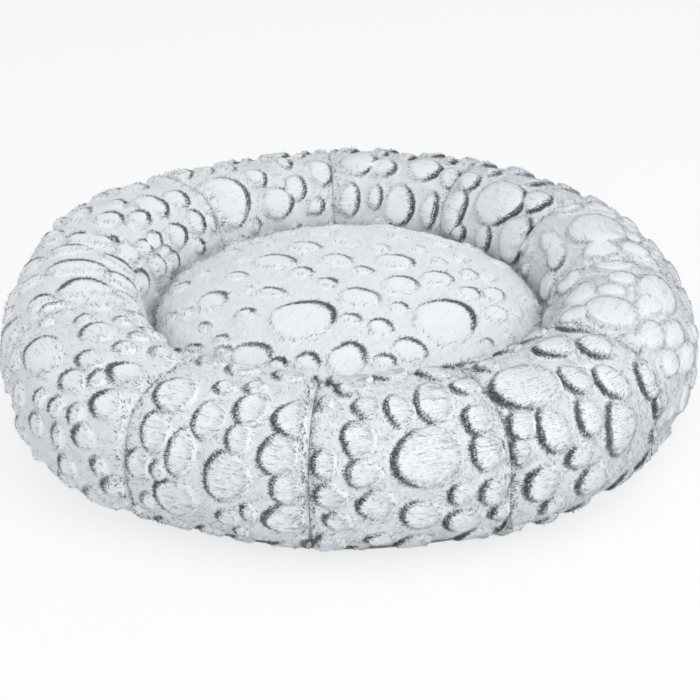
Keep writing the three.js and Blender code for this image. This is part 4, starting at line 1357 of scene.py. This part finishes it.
def cushionShapesAt(spotList, rng):
    x, y, halfWidths, halfDepths, darkness = np.array([(*row, 1)[:5] for row in spotList], float).T
    away = np.column_stack([x, y]) * mm
    reach = np.linalg.norm(away, axis=1)
    share = np.interp(reach, profiles[1][0], slopes[1]) / slopes[1][-1]
    places, outward, _ = domePoints(unit(away) * share[:, None], 1, spots["valleyDepth"])
    side = napOver(outward)
    upward = np.cross(outward, side)
    rows = zip(places, side, upward, halfDepths, halfWidths, darkness)
    return [spotShape(*row, spots["cushionMoon"], 1.0, rng) for row in rows]


def cushionShapes():
    rng = random.Random(spots["seed"])
    shapes = cushionShapesAt(cushionSpots, rng)
    edge = cushion["radius"] / mm - spots["cushionMargin"]
    for size in spots["cushionFill"]:
        tries = []
        for _ in range(spots["fillTries"]):
            turn = rng.uniform(0, 2 * math.pi)
            reach = edge * math.sqrt(rng.uniform(0, 1))
            wide = size * rng.uniform(*spots["cushionWide"])
            deep = size * rng.uniform(*spots["cushionDeep"])
            place = (reach * math.cos(turn), reach * math.sin(turn))
            tries.append((*place, wide, deep, spots["cushionFillDarkness"]))
        for shape in cushionShapesAt(tries, rng):
            if roomFor(shapes, shape, spots["cushionGap"]):
                shapes.append(shape)
    return shapes


def makeCushionTop(material):
    bm, shares = gridMesh(cushion["cells"], cushion["cells"])
    flat = discShares(bm)
    base, outward, toEdge = domePoints(flat, 1, spots["valleyDepth"])
    side = napOver(outward)
    shapes = cushionShapes()
    height, dark, _, _, _ = sculpt(base, side, np.cross(outward, side), shapes)
    crease = np.exp(-((toEdge / cushion["creaseWidth"]) ** 2))
    lift = height * spots["cushionRise"] * (1 - cushion["creaseFlattening"] * crease)
    lift += readGrid(blownCushion, shares[:, 0], shares[:, 1])
    lift += panelMesh["wrinkleDepth"] * softNoise(base, panelMesh["wrinkleSize"], cushion["wrinkleSeed"])
    lift -= cushion["creaseDepth"] * crease
    moveVerts(bm.verts, base + outward * lift[:, None])
    foldUnder(bm, 1)
    item = finishMesh(bm, "cushion_top", material)
    fluff = smoothStep(cushion["fluffWidth"], 0, toEdge)
    away = np.column_stack([flat, np.zeros(len(flat))])
    pull = cushion["overhangPull"] * smoothStep(cushion["overhang"], 0, toEdge)
    side = unit(side - pull[:, None] * unit(away))
    turn = math.radians(cushion["napTurn"])
    along = base @ (math.sin(turn), math.cos(turn), 0)
    across = base @ (math.cos(turn), -math.sin(turn), 0)
    cloth = np.column_stack([along, across, np.zeros(len(base))])
    storeCloth(item.data, {
        "dark": dark, "growth": np.ones(len(base)), "seam": crease, "fluff": fluff,
        "side": side, "outward": outward, "cloth": cloth,
    })
    return item, shapes


def blowCushion():
    cells = (puff["cushionCells"], puff["cushionCells"])
    bm, shares = gridMesh(*cells)
    flat = discShares(bm)
    points, outward, toEdge = domePoints(flat, 1, spots["valleyDepth"] + puff["start"])
    moveVerts(bm.verts, points)
    held = (np.max(np.abs(shares - 0.5), axis=1) > 0.5 - 0.5 / puff["cushionCells"]).astype(float)
    return blowOut(bm, shares, cells, outward, held, smoothStep(*puff["cushionEdge"], toEdge))


def foldUnder(bm, half):
    # turns the edge of a cushion panel in at its seam, in two steps
    for _ in range(2):
        edges = [edge for edge in bm.edges if edge.is_boundary]
        made = bmesh.ops.extrude_edge_only(bm, edges=edges)
        for vert in made["geom"]:
            if isinstance(vert, bmesh.types.BMVert):
                away = Vector((vert.co.x - axis.x, vert.co.y - axis.y, 0)).normalized()
                vert.co -= away * cushion["foldStep"]
                vert.co.z = cushion["seamHeight"] + half * cushion["sideGap"]
    # the new faces come in another order on each run, and hairs are scattered face by face
    bm.verts.index_update()
    count = len(bm.verts)

    def newness(face):
        corners = sorted(vert.index for vert in face.verts)
        return float(corners[-1] * count + corners[-2])

    bm.faces.sort(key=newness)


def makeCushionUnder(material):
    bm, _ = gridMesh(cushion["underCells"], cushion["underCells"])
    flat = discShares(bm)
    flat[:, 0] = -flat[:, 0]  # faces down
    base, outward, toEdge = domePoints(flat, -1, cushion["underDepth"])
    turned = np.arctan2(flat[:, 1], flat[:, 0])
    crease = np.exp(-((toEdge / cushion["creaseWidth"]) ** 2))
    wander = cushion["puckerWander"] * softNoise(base, cushion["puckerWanderSize"], cushion["puckerSeed"])
    puckered = np.exp(-((toEdge / cushion["puckerReach"]) ** 2))
    pucker = np.sin(turned * cushion["puckers"] + wander) * puckered
    slack = softNoise(base, cushion["slackSize"], cushion["slackSeed"])
    slack = slack * smoothStep(*cushion["slackEdge"], toEdge)
    lift = cushion["puckerDepth"] * pucker * (1 - crease) - cushion["creaseDepth"] * crease
    lift -= cushion["slackDepth"] * np.abs(slack)
    moveVerts(bm.verts, base + outward * lift[:, None])
    foldUnder(bm, -1)
    return finishMesh(bm, "cushion_underside", material)


# Base cloths and fillings

layers = {
    "cells": 60,
    "underCloth": (0.0, 0.002),
    "wadding": (0.0024, 0.0076),
    "lining": (0.008, 0.0098),
    "slack": 0.0004,
    "waveSize": 0.035,
    "flatEdge": (1, 0.93),  # shares of the way out where the waves end
    "outerThreadHeight": 0.0012,
    "innerThreadHeight": 0.0089,
    "fillingShrink": 0.0008,
    "fillingLump": 0.0011,
    "lumpSize": 0.014,
    "smallLump": 0.5,  # share of a large one
    "smallLumpSize": 0.006,
    "mergeGap": 0.000001,
    "flatAngle": 0.001,  # radians
}


def makeLayer(name, levels, endAngle, material, slack):
    # a flat sewn layer, closed all round, that stops just short of the wall's end
    bottom, top = levels
    bm, _ = gridMesh(layers["cells"], layers["cells"])
    flat = discShares(bm)
    share = np.hypot(flat[:, 0], flat[:, 1])
    bearing = np.degrees(np.arctan2(flat[:, 0], -flat[:, 1])) % 360
    reach, _, _, _ = wallSection(bearing, np.full_like(bearing, endAngle), 0)
    around = unit(flat) * (share * (reach - ring["baseEdgeGap"]))[:, None]
    points = np.column_stack([axis.x + around[:, 0], axis.y + around[:, 1], np.full(len(flat), top)])
    wave = np.abs(softNoise(points, layers["waveSize"], top / mm))
    points[:, 2] -= slack * wave * smoothStep(*layers["flatEdge"], share)
    moveVerts(bm.verts, points)
    shell = bmesh.ops.extrude_face_region(bm, geom=list(bm.faces))
    lower = [item for item in shell["geom"] if isinstance(item, bmesh.types.BMVert)]
    for vert in lower:
        vert.co.z = bottom
    bmesh.ops.recalc_face_normals(bm, faces=bm.faces)
    return finishMesh(bm, name, material)


def makeStuffing(name, node, material, cuts):
    # fibre filling: the solid's shape, drawn in a little and made lumpy
    bm = bmesh.new()
    bm.from_mesh(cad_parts[node].data)
    bmesh.ops.remove_doubles(bm, verts=bm.verts, dist=layers["mergeGap"])
    bmesh.ops.dissolve_limit(bm, angle_limit=layers["flatAngle"], verts=bm.verts, edges=bm.edges)
    bmesh.ops.triangulate(bm, faces=bm.faces)
    bmesh.ops.subdivide_edges(bm, edges=bm.edges, cuts=cuts, use_grid_fill=True)
    bm.normal_update()
    for vert in bm.verts:
        lump = noise.noise(vert.co / layers["lumpSize"])
        lump += layers["smallLump"] * noise.noise(vert.co / layers["smallLumpSize"])
        vert.co -= vert.normal * (layers["fillingShrink"] + layers["fillingLump"] * max(0, lump))
    return finishMesh(bm, name, material)


# Stitches

stitch = {
    "pitch": 0.0036,
    "length": 0.0027,
    "radius": 0.00036,
    "sides": 6,
    "rings": 4,
    "seamEnds": (0.005, 0.995),  # shares up the wall
    "seamSteps": 200,
    "baseSteps": 400,
    "cushionSteps": 300,
}


def makeStitches(name, line, material):
    # single stitches, end to end along a line of points
    steps = np.linalg.norm(np.diff(line, axis=0), axis=1)
    along = np.concatenate([[0], np.cumsum(steps)])
    count = int(along[-1] / stitch["pitch"])
    lying = Matrix.Rotation(math.pi / 2, 4, "Y")
    bm = bmesh.new()
    for index in range(count):
        middle = (index + 0.5) * along[-1] / count
        ends = [Vector([np.interp(middle + shift, along, line[:, part]) for part in range(3)])
                for shift in (-stitch["length"] / 2, stitch["length"] / 2)]
        direction = (ends[1] - ends[0]).normalized()
        size = Matrix.Diagonal((stitch["length"] / 2, stitch["radius"], stitch["radius"], 1))
        turned = direction.to_track_quat("X", "Z").to_matrix().to_4x4()
        place = Matrix.Translation((ends[0] + ends[1]) / 2) @ turned @ size @ lying
        sides, rings = stitch["sides"], stitch["rings"]
        bmesh.ops.create_uvsphere(bm, u_segments=sides, v_segments=rings, radius=1, matrix=place)
    return finishMesh(bm, name, material)


def seamLine(panel):
    rise = np.linspace(*stitch["seamEnds"], stitch["seamSteps"])
    points, _, _ = wallPoints(seamStarts[panel], rise, ring["threadDepth"])
    return points


def baseLine(endAngle, height):
    bearing = np.linspace(0, 360, stitch["baseSteps"])
    reach, _, _, _ = wallSection(bearing, np.full_like(bearing, endAngle), 0)
    return onBed(bearing, reach - ring["seamHalfGap"], np.full_like(bearing, height))


def cushionLine():
    bearing = np.linspace(0, 360, stitch["cushionSteps"])
    reach = np.full_like(bearing, cushion["radius"] - cushion["threadInset"])
    return onBed(bearing, reach, np.full_like(bearing, cushion["seamHeight"]))


# More materials

wovenCloth = {
    "roughness": 0.85,
    "sheen": 0.05,
    "threads": (900.0, 700.0),  # to the metre, in the lining and in the under cloth
    "liningColor": (0.69, 0.71, 0.72),
    "underColor": (0.4, 0.42, 0.45),
    "shadow": 0.45,  # colour between the threads, as a share of theirs
    "relief": 0.25,
    "fuzz": (0.2, 0.62),  # how strong the soft unevenness is, and the level that it is added to
    "fuzzScale": 60.0,
    "bump": (0.5, 0.0003),
    "dotPitch": 0.009,
    "dotSize": 0.2,  # share of the pitch
    "dotHeight": 3.0,
    "dotColor": (0.62, 0.64, 0.66),
}

fibreFilling = {
    "roughness": 1.0,
    "sheen": 0.2,
    "scale": 260.0,
    "detail": 5.0,
    "distortion": 2.5,
    "colors": ((0.3, (0.72, 0.72, 0.7)), (0.62, (0.93, 0.93, 0.91))),
    "bump": (0.7, 0.001),
}

sewingThread = {
    "roughness": 0.6,
    "twist": 2500.0,
    "colors": ((0.35, (0.5, 0.52, 0.55)), (0.65, (0.72, 0.74, 0.77))),
    "bump": (1.0, 0.0001),
}


def buildWeave():
    # group: plain weave, as a colour factor and a height
    group = bpy.data.node_groups.new("plainWeave", "ShaderNodeTree")
    group.interface.new_socket("Vector", in_out="INPUT", socket_type="NodeSocketVector")
    group.interface.new_socket("Threads", in_out="INPUT", socket_type="NodeSocketFloat")
    group.interface.new_socket("Factor", in_out="OUTPUT", socket_type="NodeSocketFloat")
    group.interface.new_socket("Height", in_out="OUTPUT", socket_type="NodeSocketFloat")
    given = addNode(group, "NodeGroupInput")
    result = addNode(group, "NodeGroupOutput")
    parts = addNode(group, "ShaderNodeSeparateXYZ")
    plug(group, parts.inputs[0], given.outputs["Vector"])
    waves = []
    for socket in ("X", "Y"):
        turns = calculate(group, "MULTIPLY", parts.outputs[socket], given.outputs["Threads"])
        waves.append(calculate(group, "SINE", calculate(group, "MULTIPLY", turns, 2 * math.pi)))
    product = calculate(group, "MULTIPLY", waves[0], waves[1])
    height = calculate(group, "MULTIPLY_ADD", product, 0.5, 0.5)
    fuzz = addNode(group, "ShaderNodeTexNoise")
    fuzz.inputs["Scale"].default_value = wovenCloth["fuzzScale"]
    plug(group, fuzz.inputs["Vector"], given.outputs["Vector"])
    fuzzTone = calculate(group, "MULTIPLY_ADD", fuzz.outputs[0], *wovenCloth["fuzz"])
    factor = calculate(group, "MULTIPLY_ADD", height, wovenCloth["relief"], fuzzTone)
    plug(group, result.inputs["Factor"], factor)
    plug(group, result.inputs["Height"], height)
    return group


def makeClothMaterial(name, weave, color, threads, dotted=False):
    material, tree, shader = newMaterial(name, wovenCloth["roughness"], wovenCloth["sheen"])
    coordinates = addNode(tree, "ShaderNodeTexCoord")
    pattern = addNode(tree, "ShaderNodeGroup", node_tree=weave)
    plug(tree, pattern.inputs["Vector"], coordinates.outputs["Object"])
    pattern.inputs["Threads"].default_value = threads
    shadow = [wovenCloth["shadow"] * part for part in color]
    tint = mixColors(tree, pattern.outputs["Factor"], (*shadow, 1), (*color, 1))
    height = pattern.outputs["Height"]
    if dotted:
        # the small grips on the under cloth
        dots = addNode(tree, "ShaderNodeTexVoronoi", feature="F1")
        dots.inputs["Scale"].default_value = 1 / wovenCloth["dotPitch"]
        dots.inputs["Randomness"].default_value = 0.0
        plug(tree, dots.inputs["Vector"], coordinates.outputs["Object"])
        dot = calculate(tree, "LESS_THAN", dots.outputs["Distance"], wovenCloth["dotSize"])
        tint = mixColors(tree, dot, tint, (*wovenCloth["dotColor"], 1))
        height = calculate(tree, "ADD", height, calculate(tree, "MULTIPLY", dot, wovenCloth["dotHeight"]))
    plug(tree, shader.inputs["Base Color"], tint)
    addBump(tree, shader, height, *wovenCloth["bump"])
    return material


def makeFibreMaterial():
    material, tree, shader = newMaterial("polyesterFibre", fibreFilling["roughness"], fibreFilling["sheen"])
    fibres = addFibres(tree, fibreFilling["scale"], fibreFilling["detail"], fibreFilling["distortion"])
    plug(tree, shader.inputs["Base Color"], colorStops(tree, fibres, fibreFilling["colors"]))
    addBump(tree, shader, fibres, *fibreFilling["bump"])
    return material


def makeThreadMaterial():
    material, tree, shader = newMaterial("sewingThread", sewingThread["roughness"])
    twist = addFibres(tree, sewingThread["twist"])
    plug(tree, shader.inputs["Base Color"], colorStops(tree, twist, sewingThread["colors"]))
    addBump(tree, shader, twist, *sewingThread["bump"])
    return material


def place(item, body, slotName, *nodes):
    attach(item, body)
    if nodes:
        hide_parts(*nodes)
    return item


furTone = buildFurTone()
weave = buildWeave()
pileMaterial = makePileMaterial(furTone)
plushMaterial = makePlushMaterial(furTone)
fibreMaterial = makeFibreMaterial()
threadMaterial = makeThreadMaterial()
liningThreads, underThreads = wovenCloth["threads"]
liningMaterial = makeClothMaterial("liningCloth", weave, wovenCloth["liningColor"], liningThreads)
underMaterial = makeClothMaterial("underCloth", weave, wovenCloth["underColor"], underThreads, dotted=True)
hair = makeHair()
scatterTree = buildScatterTree()
hairTree = buildHairTree(hair, pileMaterial)

blownRing = blowRing()
blownCushion = blowCushion()
print(f"filling: the ring's cloth moved {blownRing.min() / mm:.2f} to {blownRing.max() / mm:.2f} mm, "
      f"the cushion's {blownCushion.min() / mm:.2f} to {blownCushion.max() / mm:.2f} mm")

for panel in range(panelCount):
    number = f"{panel + 1:02d}"
    plush, shapes = makePanel(panel, plushMaterial)
    place(plush, "bed", "plush", f"bolster_panel_{number}")
    # the panel's matting, which also sets how much painted shade its pile gets
    mattedShade = spots["panelMattedShade"][panel]
    hairs = growPile(plush, f"pile_{number}", shapes, pile["density"], mattedShade, pile["seed"] + panel)
    place(hairs, "bed", "plush")
    stitches = makeStitches(f"seam_stitches_{number}", seamLine(panel), threadMaterial)
    place(stitches, "bed", "thread", f"seam_thread_{number}")
    print(f"bolster panel {number}: {len(shapes)} spots, {len(plush.data.polygons)} faces, "
          f"{len(hairs.data.polygons) // 2} hairs")

cushionTop, shapes = makeCushionTop(plushMaterial)
place(cushionTop, "cushion", "plush", "cushion_top_panel")
# the cushion's matting, which also sets how much painted shade its pile gets
mattedShade = spots["cushionMattedShade"]
cushionHairs = growPile(cushionTop, "cushion_pile", shapes, pile["cushionDensity"], mattedShade, pile["seed"])
place(cushionHairs, "cushion", "plush")
print(f"cushion top: {len(cushionTop.data.polygons)} faces, {len(cushionHairs.data.polygons) // 2} hairs")
place(makeCushionUnder(liningMaterial), "cushion", "lining", "cushion_under_panel")
cushionStitches = makeStitches("cushion_edge_stitches", cushionLine(), threadMaterial)
place(cushionStitches, "cushion", "thread", "cushion_edge_thread")
cushionStuffing = makeStuffing("cushion_stuffing", "cushion_filling", fibreMaterial, 2)
place(cushionStuffing, "cushion", "filling", "cushion_filling")
print("cushion is in place")

bolsterStuffing = makeStuffing("bolster_stuffing", "bolster_filling", fibreMaterial, 1)
place(bolsterStuffing, "bed", "filling", "bolster_filling")
underCloth = makeLayer("under_cloth", layers["underCloth"], ring["outerEnd"], underMaterial, 0.0)
place(underCloth, "bed", "under_cloth", "base_under_cloth")
wadding = makeLayer("wadding", layers["wadding"], innerEnd, fibreMaterial, layers["slack"])
place(wadding, "bed", "filling", "base_wadding")
lining = makeLayer("floor_lining", layers["lining"], innerEnd, liningMaterial, layers["slack"])
place(lining, "bed", "lining", "base_floor_lining")
outerLine = baseLine(ring["outerEnd"], layers["outerThreadHeight"])
outerStitches = makeStitches("outer_base_stitches", outerLine, threadMaterial)
place(outerStitches, "bed", "thread", "base_outer_thread")
innerLine = baseLine(innerEnd, layers["innerThreadHeight"])
innerStitches = makeStitches("inner_base_stitches", innerLine, threadMaterial)
place(innerStitches, "bed", "thread", "base_inner_thread")
print("base is in place")

bpy.data.objects.remove(hair)
